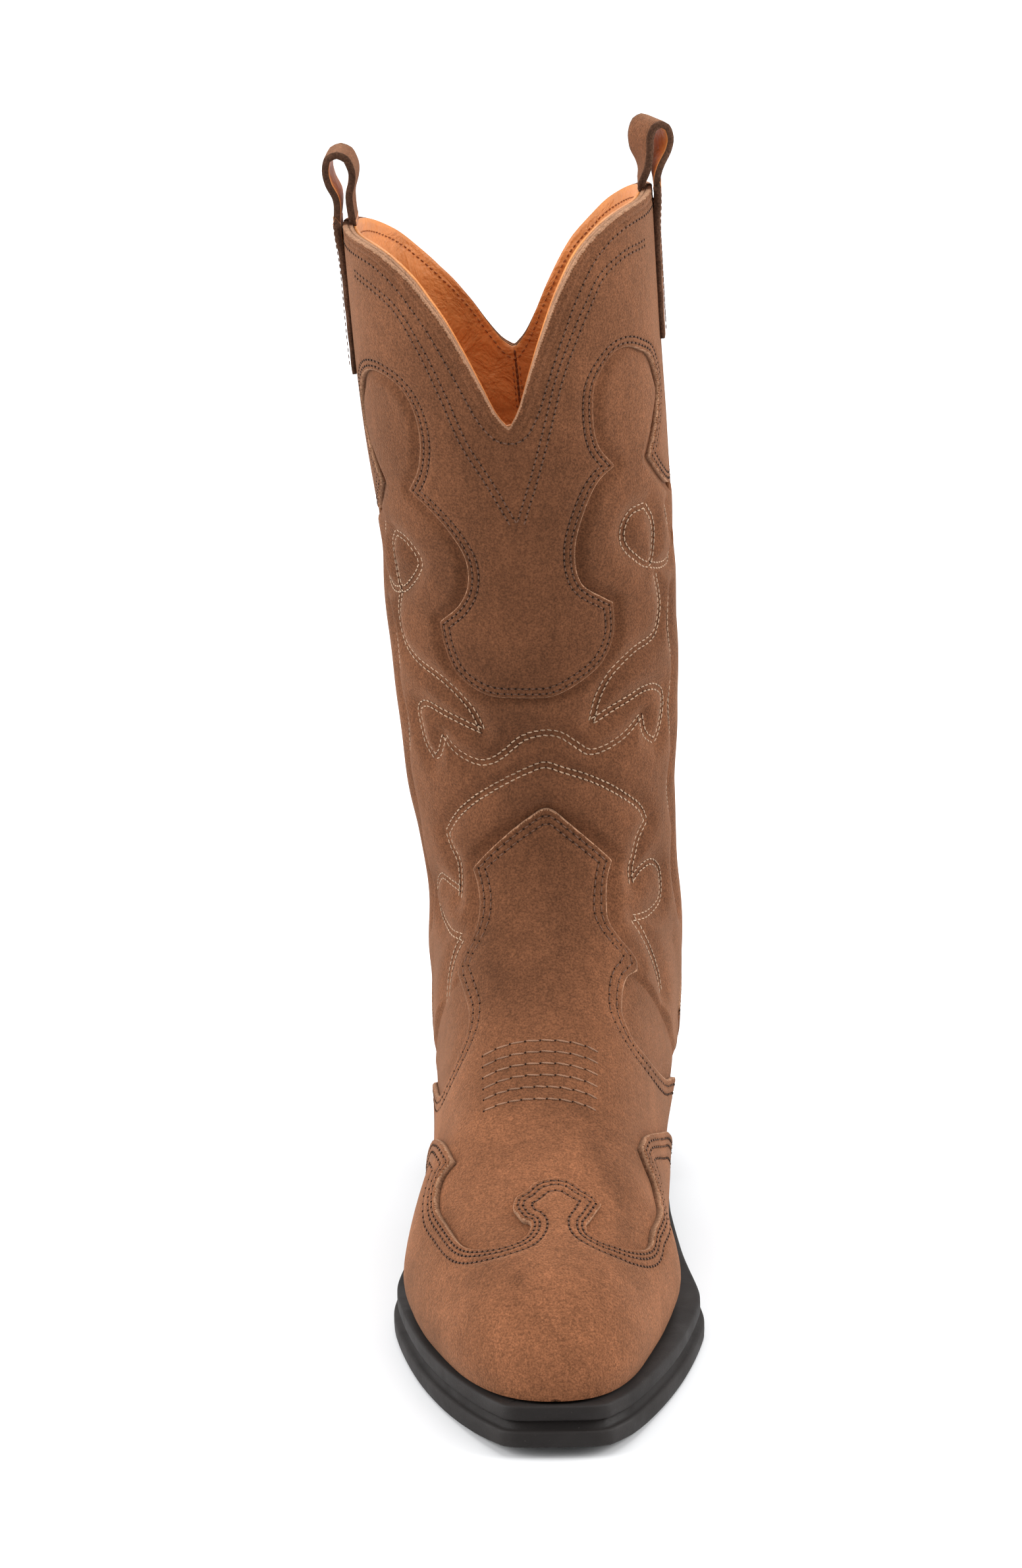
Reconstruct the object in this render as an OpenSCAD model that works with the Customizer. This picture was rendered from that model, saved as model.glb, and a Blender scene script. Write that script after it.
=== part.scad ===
// Right-foot western boot: suede upper on a snip-toe rubber sole, with two pull loops.
// Toe towards -Y, heel towards +Y, medial side towards +X, ground at z = 0.

/* [Sole] */
// Half of the sole's length, from the middle to the toe edge and to the heel
half_length = 143.5; // [142:0.5:145]
// Thickness of the upper sole band (the welt)
welt_t = 5; // [4:0.5:6]
// Thickness of the whole sole edge at the ball, welt included
edge_t = 13.8; // [12:0.1:15]
// Height of the flat underside of the heel seat
heel_seat_z = 33; // [30:1:36]
// Thickness of the rubber heel top piece
top_piece_t = 7; // [5:1:9]
// Height of the toe's lift above the ground
toe_spring = 3.8; // [2:0.2:5]

/* [Upper] */
// Thickness of the suede panels of the shaft
base_t = 1.6; // [1.2:0.1:2]
// Thickness of the suede overlays
overlay_t = 1.4; // [1:0.1:1.6]
// Clear gap between two neighbouring layers
layer_gap = 0.45; // [0.35:0.05:0.6]
// Thickness of the leather lining
lining_t = 1.1; // [0.9:0.1:1.4]
// Height of the shaft's top edge at the side seams
side_top_z = 348.5; // [340:0.5:352]
// Extra height of the medial side's top edge over the middle
top_tilt = 5; // [0:0.5:6]

/* [Pull loops] */
// Width of the pull strap along the boot
strap_w = 16; // [12:1:30]
// Thickness of the doubled pull strap
strap_t = 2.6; // [2.2:0.1:3]
// Height of the loop above its hinge line
loop_h = 24; // [20:1:30]
// Length of the stitched outer leg below the top edge
leg_outer = 50; // [40:1:60]
// Length of the stitched inner leg below the top edge
leg_inner = 26; // [20:1:40]

/* [Hidden] */

suede = "#9c7558";
suede_light = "#a8805f";
cognac = "#b8692f";
rubber_black = "#232223";

// Moves the whole boot so that its bounding box is centred on the origin
shift_x = 8.9;
fit_gap = 0.05;
feather_gap = 0.4;
// Height of the foot panels' lower edges above the feather line
edge_lift = 1.2;

// Outer surface of the shaft panels, as tables of [station, value] in mm.
// Feather line height along the foot
SEAT = [[-143, 17.4], [-125, 15.6], [-100, 14.2], [-75, 13.8], [-50, 14.2], [-30, 16.3],
    [-10, 21], [10, 28], [30, 35.5], [50, 42.5], [70, 47.5], [90, 50.5], [110, 52], [143, 52]];
// Height of the ridge of the foot
RIDGE = [[-143, 41], [-125, 44.5], [-105, 49.5], [-85, 55.5], [-65, 63], [-45, 72.5],
    [-25, 85], [-5, 99.5], [8, 111], [18, 122], [27, 134], [40, 148], [143, 152]];
// Half width of the foot
HALF = [[-143, 19], [-125, 23.5], [-110, 28], [-95, 33], [-80, 37.5], [-60, 41.4],
    [-45, 40], [-25, 37], [0, 36.9], [25, 37.8], [50, 40], [75, 39.8], [100, 36], [143, 30]];
// Sideways middle of the foot
MID = [[-143, 3], [-120, 0.8], [-100, -0.8], [-80, -1.9], [-60, -2.5], [-45, -3],
    [-25, -1.8], [0, -1], [25, 0], [50, 1], [75, 1.5], [143, 1.5]];
// Front line of the shaft against height
FRONT = [[40, 51], [70, 45], [100, 37], [130, 30.5], [150, 28], [170, 27.5], [200, 26.5],
    [240, 24], [280, 20.5], [320, 17], [360, 13.5]];
// Back line of the shaft against height
BACK = [[40, 131.5], [52, 134.5], [65, 136.8], [80, 136], [95, 133], [110, 129.5],
    [130, 126.5], [150, 125], [180, 125], [220, 127], [260, 129], [300, 131.5], [360, 134]];
// Half width of the shaft against height
WIDE = [[40, 36], [52, 38], [62, 39.8], [75, 41], [88, 41.3], [112, 40.6], [132, 41.8],
    [152, 43.5], [180, 45.5], [212, 46.8], [244, 47.2], [280, 48.6], [345, 49.3], [360, 49.3]];
// Sideways middle of the shaft against height
LEAN = [[40, 1.7], [60, 1.8], [90, 2.1], [112, 1.6], [132, -0.3], [152, -1.8], [180, -2.4],
    [212, -3.9], [244, -5.2], [264, -7], [280, -8.3], [300, -9.7], [345, -12], [360, -12.7]];
toe_start = -105;
toe_end = -136;
heel_start = 60;
heel_end = 136;
foot_power_x = 2.5;
foot_power_z = 2.1;
shaft_power = 2.15;
blend = 5;
tuck = 3;
tuck_h = 6;

// Top edge of the shaft: height below the side seam's top against angle from the V
NOTCH_FRONT = [[0, -62.5], [4, -56.5], [8, -46.5], [13, -34.5], [20, -20.5], [30, -8], [45, -1],
    [70, 0], [90, 0]];
NOTCH_BACK = [[0, -62.5], [4, -59], [8, -53], [14, -42.5], [22, -31], [32, -21], [45, -11.5],
    [65, -4], [90, 0]];

// Pivot of the fan of section planes through the instep
fan_y = -60;
fan_z = 190;
fan_pitch = 100;
spine_y = 66;

// Catmull-Rom value of a table at x, used once to refine each table
function slope(t, i) = i == 0 ? (t[1][1] - t[0][1]) / (t[1][0] - t[0][0])
    : i == len(t) - 1 ? (t[i][1] - t[i - 1][1]) / (t[i][0] - t[i - 1][0])
    : (t[i + 1][1] - t[i - 1][1]) / (t[i + 1][0] - t[i - 1][0]);
function refine(t, n) = [for (i = [0:len(t) - 2]) let (h = t[i + 1][0] - t[i][0],
        a = slope(t, i) * h, b = slope(t, i + 1) * h)
    for (j = [0:(i == len(t) - 2 ? n : n - 1)]) let (u = j / n)
    [t[i][0] + u * h, (2 * u ^ 3 - 3 * u ^ 2 + 1) * t[i][1] + (u ^ 3 - 2 * u ^ 2 + u) * a
        + (3 * u ^ 2 - 2 * u ^ 3) * t[i + 1][1] + (u ^ 3 - u ^ 2) * b]];
seat_t = refine(SEAT, 5);
ridge_t = refine(RIDGE, 5);
half_t = refine(HALF, 5);
mid_t = refine(MID, 4);
front_t = refine(FRONT, 5);
back_t = refine(BACK, 5);
wide_t = refine(WIDE, 5);
lean_t = refine(LEAN, 4);
notch_front_t = refine(NOTCH_FRONT, 4);
notch_back_t = refine(NOTCH_BACK, 4);

function seat(y) = lookup(y, seat_t);
function ramp(x, a, b) = let (u = min(1, max(0, (x - a) / (b - a)))) u * u * (3 - 2 * u);

// Level functions: below 0 inside, above 0 outside
function foot(p) = let (s = seat(p[1]), h = p[2] - s, top = lookup(p[1], ridge_t) - s,
        w = lookup(p[1], half_t) - tuck * exp(-(h / tuck_h) ^ 2),
        u = max(0, (toe_start - p[1]) / (toe_start - toe_end)),
        v = max(0, (p[1] - heel_start) / (heel_end - heel_start)))
    abs((p[0] - lookup(p[1], mid_t)) / w) ^ foot_power_x + max(h / top, 0) ^ foot_power_z
    + u ^ 2.5 + v ^ 2.5 - 1;
function shaft(p) = let (f = lookup(p[2], front_t), b = lookup(p[2], back_t))
    abs((p[0] - lookup(p[2], lean_t)) / lookup(p[2], wide_t)) ^ shaft_power
    + abs((p[1] - (f + b) / 2) / ((b - f) / 2)) ^ shaft_power - 1;
function level(p) = let (a = foot(p), b = shaft(p), m = min(a, b))
    m - ln(exp(-blend * (a - m)) + exp(-blend * (b - m))) / blend;
function cross_at(o, d, lo, hi, n) = n == 0 ? (lo + hi) / 2
    : let (m = (lo + hi) / 2)
    level(o + d * m) > 0 ? cross_at(o, d, lo, m, n - 1) : cross_at(o, d, m, hi, n - 1);
function surface_point(o, d, reach) = o + d * cross_at(o, d, 0, reach, 15);
function unit(v) = v / norm(v);
function normal_at(p) = let (e = 0.4) unit([
    level(p + [e, 0, 0]) - level(p - [e, 0, 0]),
    level(p + [0, e, 0]) - level(p - [0, e, 0]),
    level(p + [0, 0, e]) - level(p - [0, 0, e])]);

// Point and normal of the shaft chart at angle t (0 at the front, 90 medial) and height z
function shaft_axis(z) = [lookup(z, lean_t), (lookup(z, front_t) + lookup(z, back_t)) / 2, z];
function shaft_hit(t, z) = let (p = surface_point(shaft_axis(z), [sin(t), -cos(t), 0], 170))
    [p, normal_at(p)];
// Point and normal of the foot chart at station s and angle t from the ridge
function fan_angle(s) = max(0, (s - fan_y) / fan_pitch * 180 / PI);
function seat_root(a, lo, hi, n) = n == 0 ? (lo + hi) / 2
    : let (m = (lo + hi) / 2)
    fan_z - (m - fan_y) / tan(a) > seat(m) ? seat_root(a, m, hi, n - 1)
    : seat_root(a, lo, m, n - 1);
function foot_origin(s) = let (a = fan_angle(s),
        y = a < 0.1 ? s : min(spine_y, seat_root(a, fan_y, 140, 18)),
        z = a < 0.1 ? seat(y) : fan_z - (y - fan_y) / tan(a))
    [lookup(y, mid_t), y - edge_lift * sin(a), z + edge_lift * cos(a)];
function foot_hit(s, t) = let (a = fan_angle(s), o = foot_origin(s),
        p = surface_point(o, [sin(t), -sin(a) * cos(t), cos(a) * cos(t)], 120))
    [p, normal_at(p)];
function fan_z_at(y, a) = fan_z - (y - fan_y) / tan(a);

// Closed shell between two offsets of a grid of [point, normal], over the cells that keep() names
module shell(grid, inner, outer, keep = function (i, j) true) {
    n = len(grid);
    m = len(grid[0]);
    k = n * m;
    has = function (i, j) i >= 0 && j >= 0 && i < n - 1 && j < m - 1 && keep(i, j);
    pts = concat(
        [for (i = [0:n - 1]) for (j = [0:m - 1]) grid[i][j][0] + outer(i, j) * grid[i][j][1]],
        [for (i = [0:n - 1]) for (j = [0:m - 1]) grid[i][j][0] + inner(i, j) * grid[i][j][1]]);
    wall = function (p, q) [[p, k + p, k + q], [p, k + q, q]];
    faces = [for (i = [0:n - 2]) for (j = [0:m - 2]) if (keep(i, j))
        let (a = i * m + j, b = a + 1, c = a + m, d = c + 1)
        each concat([[a, b, d], [a, d, c], [k + a, k + d, k + b], [k + a, k + c, k + d]],
            has(i - 1, j) ? [] : wall(a, b), has(i + 1, j) ? [] : wall(d, c),
            has(i, j - 1) ? [] : wall(c, a), has(i, j + 1) ? [] : wall(b, d))];
    translate([shift_x, 0, 0]) polyhedron(pts, faces, convexity = 8);
}
// Rows of heights at each angle, from low(t) to high(t) and closer together at the bottom
function shaft_grid(from, to, cols, rows, low, high, power = 1) =
    [for (i = [0:cols]) let (t = from + (to - from) * i / cols, a = low(t), b = high(t))
    [for (j = [0:rows]) shaft_hit(t, a + (b - a) * pow(j / rows, power))]];
// Columns across the foot at each station, out to the angle reach(s) on both sides
function foot_grid(stations, cols, reach) = [for (s = stations) let (a = reach(s))
    [for (j = [cols:-1:0]) foot_hit(s, a * (2 * j / cols - 1))]];

// Layers, as offsets outward from the shaft panels' outer surface
over_in = layer_gap;
over_out = layer_gap + overlay_t;
tongue_in = 1.8 * layer_gap;
wing_in = over_out + 2.1 * layer_gap;
wing_out = wing_in + overlay_t;
lining_out = -base_t - 0.3;
stiff_out = -base_t - 1.4 * layer_gap;
stiff_in = stiff_out - 1.2;
heel_lining_out = stiff_in - layer_gap;
vamp_in = -0.2;
puff_out = vamp_in - layer_gap;
puff_in = puff_out - 1;
vamp_lining_out = puff_in - layer_gap;

// Boundaries
vamp_end_a = 39.5;
shaft_start_a = 40;
vamp_end_s = fan_y + fan_pitch * vamp_end_a * PI / 180;
tongue_tip_s = 57.3;
// Half angle of the instep tongue along its stations
TONGUE = [[8.9, 49], [12, 44], [18, 34], [30, 31], [42, 31], [50, 21], [57.3, 0.8]];
seam_half = 2.2;

function wrap(t) = t > 180 ? t - 360 : t;
function top_z(t) = let (a = abs(wrap(t)))
    side_top_z + top_tilt * min(1, max(-1, 2.4 * sin(t)))
    + (a < 90 ? lookup(a, notch_front_t) : lookup(180 - a, notch_back_t));
function low_root(t, a, gap, lo, hi, n) = n == 0 ? (lo + hi) / 2
    : let (m = (lo + hi) / 2,
        y = surface_point(shaft_axis(m), [sin(t), -cos(t), 0], 170)[1])
    m > max(fan_z_at(y, a), seat(y) + gap) ? low_root(t, a, gap, lo, m, n - 1)
    : low_root(t, a, gap, m, hi, n - 1);
function low_z(t, a) = low_root(t, a, edge_lift, 30, 150, 12);
function toe_stations(to, n) = [for (i = [0:n])
    toe_end + 0.004 + (to - toe_end - 0.004) * pow(i / n, 1.5)];
function steps(from, to, n) = [for (i = [0:n]) from + (to - from) * i / n];

module vamp() {
    cols = 22;
    first = 5;
    foot = toe_stations(vamp_end_s, 19);
    stations = concat(foot, steps(12, tongue_tip_s, 8));
    rows = len(foot) - 1;
    base = 90 * (1 - 2 * first / cols);
    reach = function (s) s <= vamp_end_s + 0.01 ? 90 : 90 * lookup(s, TONGUE) / base;
    color(suede_light) shell(foot_grid(stations, cols, reach),
        function (i, j) vamp_in + (tongue_in - vamp_in) * ramp(stations[i], 0, vamp_end_s),
        function (i, j) over_out + 0.3 * ramp(stations[i], 0, vamp_end_s),
        function (i, j) i < rows || (j >= first && j < cols - first));
}
// Rear edge of the toe overlay: side lobes, two bays and a tongue in the middle
function wing_back(t) = let (a = abs(t))
    a < 14 ? -72 : a < 24 ? -72 - 1.9 * (a - 14) : a < 50 ? -91 + 1.35 * (a - 24) : -56
    + 1.1 * (a - 50);
module wing_tip() {
    rows = 13;
    cols = 26;
    grid = [for (i = [0:rows]) [for (j = [cols:-1:0]) let (t = 180 * j / cols - 90,
            to = wing_back(t))
        foot_hit(toe_end + 0.004 + (to - toe_end - 0.004) * pow(i / rows, 1.5), t)]];
    color(suede_light) shell(grid, function (i, j) wing_in, function (i, j) wing_out);
}
module toe_puff() {
    color("#d8cbb4") shell(foot_grid(toe_stations(-92, 7), 20, function (s) 88),
        function (i, j) puff_in, function (i, j) puff_out);
}
module vamp_lining() {
    stations = toe_stations(vamp_end_s, 15);
    out = function (i, j) vamp_lining_out
        + (heel_lining_out - vamp_lining_out) * ramp(stations[i], -35, 4);
    color(cognac) shell(foot_grid(stations, 20, function (s) 90),
        function (i, j) out(i, j) - lining_t, out);
}
module shaft_panel(from, to, cols, rows) {
    color(suede) shell(shaft_grid(from, to, cols, rows,
        function (t) low_z(t, shaft_start_a), function (t) top_z(t), 1.5),
        function (i, j) -base_t, function (i, j) 0);
}
module shaft_front() { shaft_panel(-89.8, 89.8, 26, 17); }
module shaft_back() { shaft_panel(90.2, 269.8, 26, 16); }
module lining_panel(from, to, cols, rows) {
    grid = shaft_grid(from, to, cols, rows, function (t) low_z(t, shaft_start_a),
        function (t) top_z(t) - 0.3, 1.5);
    out = function (i, j) let (z = grid[i][j][0][2])
        heel_lining_out + (lining_out - heel_lining_out) * ramp(z, 118, 155);
    color(cognac) shell(grid, function (i, j) out(i, j) - lining_t, out);
}
module shaft_lining_front() { lining_panel(-89.6, 89.6, 24, 15); }
module shaft_lining_back() { lining_panel(90.4, 269.6, 24, 15); }
// Upper edge of the heel counter against angle from the back
function counter_top(t) = let (a = abs(180 - t))
    a < 40 ? 118 - 0.014 * a * a : 95.6 - 0.42 * (a - 40);
module heel_counter() {
    color(suede_light) shell(shaft_grid(64, 296, 32, 6,
        function (t) low_z(t, shaft_start_a), function (t) max(counter_top(t), 58)),
        function (i, j) over_in, function (i, j) over_out);
}
module heel_stiffener() {
    color("#cdbb9c") shell(shaft_grid(98, 262, 24, 5,
        function (t) seat(120) + edge_lift, function (t) counter_top(t) - 12),
        function (i, j) stiff_in, function (i, j) stiff_out);
}
// Lower edge of a collar against angle from its V
COLLAR = [[0, 194], [15, 197], [28, 211], [34, 223], [38, 242], [46, 262], [62, 262], [90, 250]];
module collar(from, to, middle) {
    color(suede) shell(shaft_grid(from, to, 26, 9,
        function (t) lookup(abs(t - middle), COLLAR), function (t) top_z(t)),
        function (i, j) over_in, function (i, j) over_out);
}
module collar_front() { collar(-90 + seam_half, 90 - seam_half, 0); }
module collar_back() { collar(90 + seam_half, 270 - seam_half, 180); }
module side_welt(middle) {
    color(suede) shell(shaft_grid(middle - seam_half + 0.4, middle + seam_half - 0.4, 2, 16,
        function (t) 84, function (t) top_z(middle) - 1),
        function (i, j) over_in, function (i, j) over_out);
}
module side_welt_left() { side_welt(270); }
module side_welt_right() { side_welt(90); }

// Pull loops: a stitched leg each side of the wall, and a loop that swings on the top edge
strap_out_in = over_out + layer_gap;
strap_in_out = lining_out - lining_t - layer_gap;
wall_mid = (over_out + lining_out - lining_t) / 2;
leg_reach = strap_out_in + strap_t - wall_mid;
hinge_r = 9.6;
leg_r = hinge_r - 1;
strap_half_a = asin(strap_w / 2 / 50);
function hinge_z(side) = side_top_z + side * top_tilt;
function hinge_x(side) = lookup(hinge_z(side), lean_t)
    + side * (lookup(hinge_z(side), wide_t) + wall_mid);
function leg_top(side) = hinge_z(side) + sqrt(leg_r ^ 2 - leg_reach ^ 2) - 0.2;
module strap_leg(side, inner, outer, depth) {
    middle = side > 0 ? 90 : 270;
    color(suede) shell(shaft_grid(middle - strap_half_a, middle + strap_half_a, 4, 4,
        function (t) hinge_z(side) - depth, function (t) leg_top(side)),
        function (i, j) inner, function (i, j) outer);
}
module strap_outer_left() { strap_leg(-1, strap_out_in, strap_out_in + strap_t, leg_outer); }
module strap_outer_right() { strap_leg(1, strap_out_in, strap_out_in + strap_t, leg_outer); }
module strap_inner_left() { strap_leg(-1, strap_in_out - strap_t, strap_in_out, leg_inner); }
module strap_inner_right() { strap_leg(1, strap_in_out - strap_t, strap_in_out, leg_inner); }

// Half of the loop's middle line above the hinge, from its foot to its crown
function loop_half() = let (x = leg_reach - strap_t / 2)
    [[x, 5], [x + 0.2, 9], [x + 0.5, loop_h * 0.45], [x + 1.3, loop_h * 0.64],
    [x + 1.2, loop_h * 0.8], [x - 1.6, loop_h * 0.92], [0, loop_h - strap_t / 2]];
function mirrored(p) = concat(p, [for (i = [len(p) - 2:-1:0]) [-p[i][0], p[i][1]]]);
function spline(p, n) = [for (i = [0:len(p) - 2])
    let (a = p[max(i - 1, 0)], b = p[i], c = p[i + 1], d = p[min(i + 2, len(p) - 1)])
    for (j = [0:(i == len(p) - 2 ? n : n - 1)]) let (u = j / n)
    0.5 * (2 * b + (c - a) * u + (2 * a - 5 * b + 4 * c - d) * u ^ 2
        + (3 * b - a - 3 * c + d) * u ^ 3)];
function beside(p, off) = [for (i = [0:len(p) - 1])
    let (d = unit(p[min(i + 1, len(p) - 1)] - p[max(i - 1, 0)])) p[i] + off * [-d[1], d[0]]];
module pull_loop(side) {
    line = spline(mirrored(loop_half()), 4);
    outer = beside(line, -strap_t / 2);
    inner = beside(line, strap_t / 2);
    color(suede_light) translate([hinge_x(side) + shift_x,
        shaft_axis(hinge_z(side))[1] + strap_w / 2, hinge_z(side)]) rotate([90, 0, 0])
        linear_extrude(strap_w) difference() {
            polygon(concat(outer, [for (i = [len(inner) - 1:-1:0]) inner[i]]));
            circle(r = hinge_r, $fn = 64);
        }
}
module pull_loop_left() { pull_loop(-1); }
module pull_loop_right() { pull_loop(1); }

// Sole: outlines seen from above, cut by side profiles that follow the feather line
LATERAL = [[1.5, 143.5], [-17, 140], [-31, 127], [-37.6, 103], [-38.4, 70], [-39.4, 38], [-42, 8],
    [-47.2, -20], [-51.6, -43], [-49.8, -59], [-42.6, -87], [-33.8, -109], [-22.5, -130], [-15, -141]];
MEDIAL = [[20, -141], [26, -132], [34.8, -112], [42.5, -90], [48.6, -64], [49.8, -52], [44, -22],
    [39.6, 8], [39, 38], [39.2, 70], [39, 103], [33.5, 127], [20, 140], [1.5, 143.5]];
TOE_EDGE = [[-11, -143], [3, -half_length], [16, -143]];
function sole_line() = concat(spline(LATERAL, 3), TOE_EDGE,
    [for (i = [0:3 * (len(MEDIAL) - 1) - 1]) spline(MEDIAL, 3)[i]]);
function inset(p, k) = let (n = len(p)) [for (i = [0:n - 1])
    let (d = unit(p[(i + 1) % n] - p[(i + n - 1) % n])) p[i] + k * [-d[1], d[0]]];
// Outline of the foot's bottom, a distance k inside the feather line
function inner_line(k, from, to, n) = let (
    wide = function (y) (lookup(y, half_t) - k)
        * pow(max(0, 1 - pow(max(0, (toe_start - y) / (toe_start - toe_end - k)), 2.5)
        - pow(max(0, (y - heel_start) / (heel_end - k - heel_start)), 2.5)), 0.4),
    ys = [for (i = [0:n]) from + (to - from) * (1 - cos(180 * i / n)) / 2])
    concat([for (y = ys) [lookup(y, mid_t) - wide(y) - 0.01, y]],
    [for (i = [n:-1:0]) [lookup(ys[i], mid_t) + wide(ys[i]) + 0.01, ys[i]]]);
profile_y = steps(-150, 150, 30);
module profile(low, high) {
    translate([-100, 0, 0]) rotate([90, 0, 90]) linear_extrude(200)
        polygon(concat([for (y = profile_y) [y, low(y)]],
        [for (i = [len(profile_y) - 1:-1:0]) [profile_y[i], high(profile_y[i])]]));
}
module plate(line, low, high) {
    translate([shift_x, 0, 0]) intersection() {
        translate([0, 0, -5]) linear_extrude(90) polygon(line);
        profile(low, high);
    }
}
function over(d) = function (y) seat(y) + d;
function tread(y) = y < -100 ? toe_spring * pow((-100 - y) / 43.5, 2)
    : y < -52 ? 0 : min(heel_seat_z, max(0, seat(y) - edge_t));
module insole_board() {
    color("#c9ab7c") plate(inner_line(8.5, -126, 126, 18), over(0.3), over(2.5));
}
module sock_liner() {
    color(cognac) plate(inner_line(9.2, -125, 125, 18), over(2.55), over(4));
}
module cork_filler() {
    color("#a5815a") plate(inner_line(12.6, -122, 118, 16), over(fit_gap - welt_t),
        function (y) seat(y) + (y < -15 ? 0.25 : -2.45));
}
module shank() {
    color("silver") plate([[-7, -4], [10, -4], [9, 40], [9, 96], [-6, 96], [-6, 40]],
        over(-2.35), over(0.2));
}
module welt() {
    color(rubber_black) difference() {
        plate(inset(sole_line(), 1.3), over(-welt_t), over(-fit_gap));
        translate([shift_x, 0, -5]) linear_extrude(90) polygon(inner_line(12, -122.5, 118.5, 16));
    }
}
groove_t = 3.2;
groove_deep = 2.6;
module outsole() {
    color(rubber_black) union() {
        plate(sole_line(), function (y) tread(y), over(-welt_t - groove_t));
        plate(inset(sole_line(), groove_deep), function (y) seat(y) - welt_t - groove_t - 0.6,
            over(-welt_t - fit_gap));
    }
}
// Ring of the heel at height z: a straight breast, straight sides and a round back
function heel_ring(z) = let (u = 1 - z / heel_seat_z, w = 37.4 - 5 * u, y0 = 98 - 2 * u,
        deep = 44.5 - 9 * u, breast = 70 + 3 * u)
    concat([[1.2 - w, breast, z]],
    [for (a = [180:-10:0]) [1.2 + w * sign(cos(a)) * pow(abs(cos(a)), 0.85),
        y0 + deep * pow(sin(a), 0.85), z]],
    [[1.2 + w, breast, z]]);
module loft(a, b) {
    n = len(a);
    faces = concat([[for (i = [n - 1:-1:0]) i]], [[for (i = [0:n - 1]) n + i]],
        [for (i = [0:n - 1]) let (j = (i + 1) % n) each [[i, n + j, n + i], [i, j, n + j]]]);
    translate([shift_x, 0, 0]) polyhedron(concat(a, b), faces);
}
module heel_block() {
    color(rubber_black) loft(heel_ring(top_piece_t), heel_ring(heel_seat_z - fit_gap));
}
module heel_top_piece() {
    color("#191819") loft(heel_ring(0), heel_ring(top_piece_t - fit_gap));
}

vamp();
wing_tip();
shaft_front();
shaft_back();
heel_counter();
collar_front();
collar_back();
side_welt_left();
side_welt_right();
vamp_lining();
shaft_lining_front();
shaft_lining_back();
toe_puff();
heel_stiffener();
strap_outer_left();
strap_outer_right();
strap_inner_left();
strap_inner_right();
pull_loop_left();
pull_loop_right();
insole_board();
sock_liner();
shank();
cork_filler();
welt();
outsole();
heel_block();
heel_top_piece();
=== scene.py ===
"""Western boot in tan suede: panels, overlays, stitching, lining, pull loops and rubber sole."""
import math

import bpy
import numpy as np
from mathutils import Matrix, Vector, geometry, kdtree


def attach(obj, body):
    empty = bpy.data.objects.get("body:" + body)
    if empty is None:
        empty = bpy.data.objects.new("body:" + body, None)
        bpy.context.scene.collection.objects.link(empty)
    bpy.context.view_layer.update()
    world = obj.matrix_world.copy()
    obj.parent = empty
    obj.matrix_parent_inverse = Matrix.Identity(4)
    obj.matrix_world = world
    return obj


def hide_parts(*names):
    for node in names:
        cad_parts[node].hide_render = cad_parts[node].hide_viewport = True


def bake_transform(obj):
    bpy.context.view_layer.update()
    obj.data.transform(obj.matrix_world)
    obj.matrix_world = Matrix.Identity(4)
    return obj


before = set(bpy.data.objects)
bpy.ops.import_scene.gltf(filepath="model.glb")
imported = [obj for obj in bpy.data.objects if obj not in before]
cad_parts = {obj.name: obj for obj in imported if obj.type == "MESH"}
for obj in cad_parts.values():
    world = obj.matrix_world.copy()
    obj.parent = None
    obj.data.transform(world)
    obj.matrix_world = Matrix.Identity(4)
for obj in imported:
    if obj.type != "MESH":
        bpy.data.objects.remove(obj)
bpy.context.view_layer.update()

rng = np.random.default_rng(7)

MM = 0.001
BOOT = "boot"
SIDE_NAME = {-1: "left", 1: "right"}

# ---------------------------------------------------------------- surface of the boot, in mm
# The same tables as the CAD: [station, value]
SEAT = [[-143, 17.4], [-125, 15.6], [-100, 14.2], [-75, 13.8], [-50, 14.2], [-30, 16.3],
        [-10, 21], [10, 28], [30, 35.5], [50, 42.5], [70, 47.5], [90, 50.5], [110, 52],
        [143, 52]]
RIDGE = [[-143, 41], [-125, 44.5], [-105, 49.5], [-85, 55.5], [-65, 63], [-45, 72.5],
         [-25, 85], [-5, 99.5], [8, 111], [18, 122], [27, 134], [40, 148], [143, 152]]
HALF = [[-143, 19], [-125, 23.5], [-110, 28], [-95, 33], [-80, 37.5], [-60, 41.4],
        [-45, 40], [-25, 37], [0, 36.9], [25, 37.8], [50, 40], [75, 39.8], [100, 36],
        [143, 30]]
MID = [[-143, 3], [-120, 0.8], [-100, -0.8], [-80, -1.9], [-60, -2.5], [-45, -3],
       [-25, -1.8], [0, -1], [25, 0], [50, 1], [75, 1.5], [143, 1.5]]
FRONT = [[40, 51], [70, 45], [100, 37], [130, 30.5], [150, 28], [170, 27.5], [200, 26.5],
         [240, 24], [280, 20.5], [320, 17], [360, 13.5]]
BACK = [[40, 131.5], [52, 134.5], [65, 136.8], [80, 136], [95, 133], [110, 129.5],
        [130, 126.5], [150, 125], [180, 125], [220, 127], [260, 129], [300, 131.5],
        [360, 134]]
WIDE = [[40, 36], [52, 38], [62, 39.8], [75, 41], [88, 41.3], [112, 40.6], [132, 41.8],
        [152, 43.5], [180, 45.5], [212, 46.8], [244, 47.2], [280, 48.6], [345, 49.3],
        [360, 49.3]]
LEAN = [[40, 1.7], [60, 1.8], [90, 2.1], [112, 1.6], [132, -0.3], [152, -1.8], [180, -2.4],
        [212, -3.9], [244, -5.2], [264, -7], [280, -8.3], [300, -9.7], [345, -12],
        [360, -12.7]]
NOTCH_FRONT = [[0, -62.5], [4, -56.5], [8, -46.5], [13, -34.5], [20, -20.5], [30, -8],
               [45, -1], [70, 0], [90, 0]]
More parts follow.
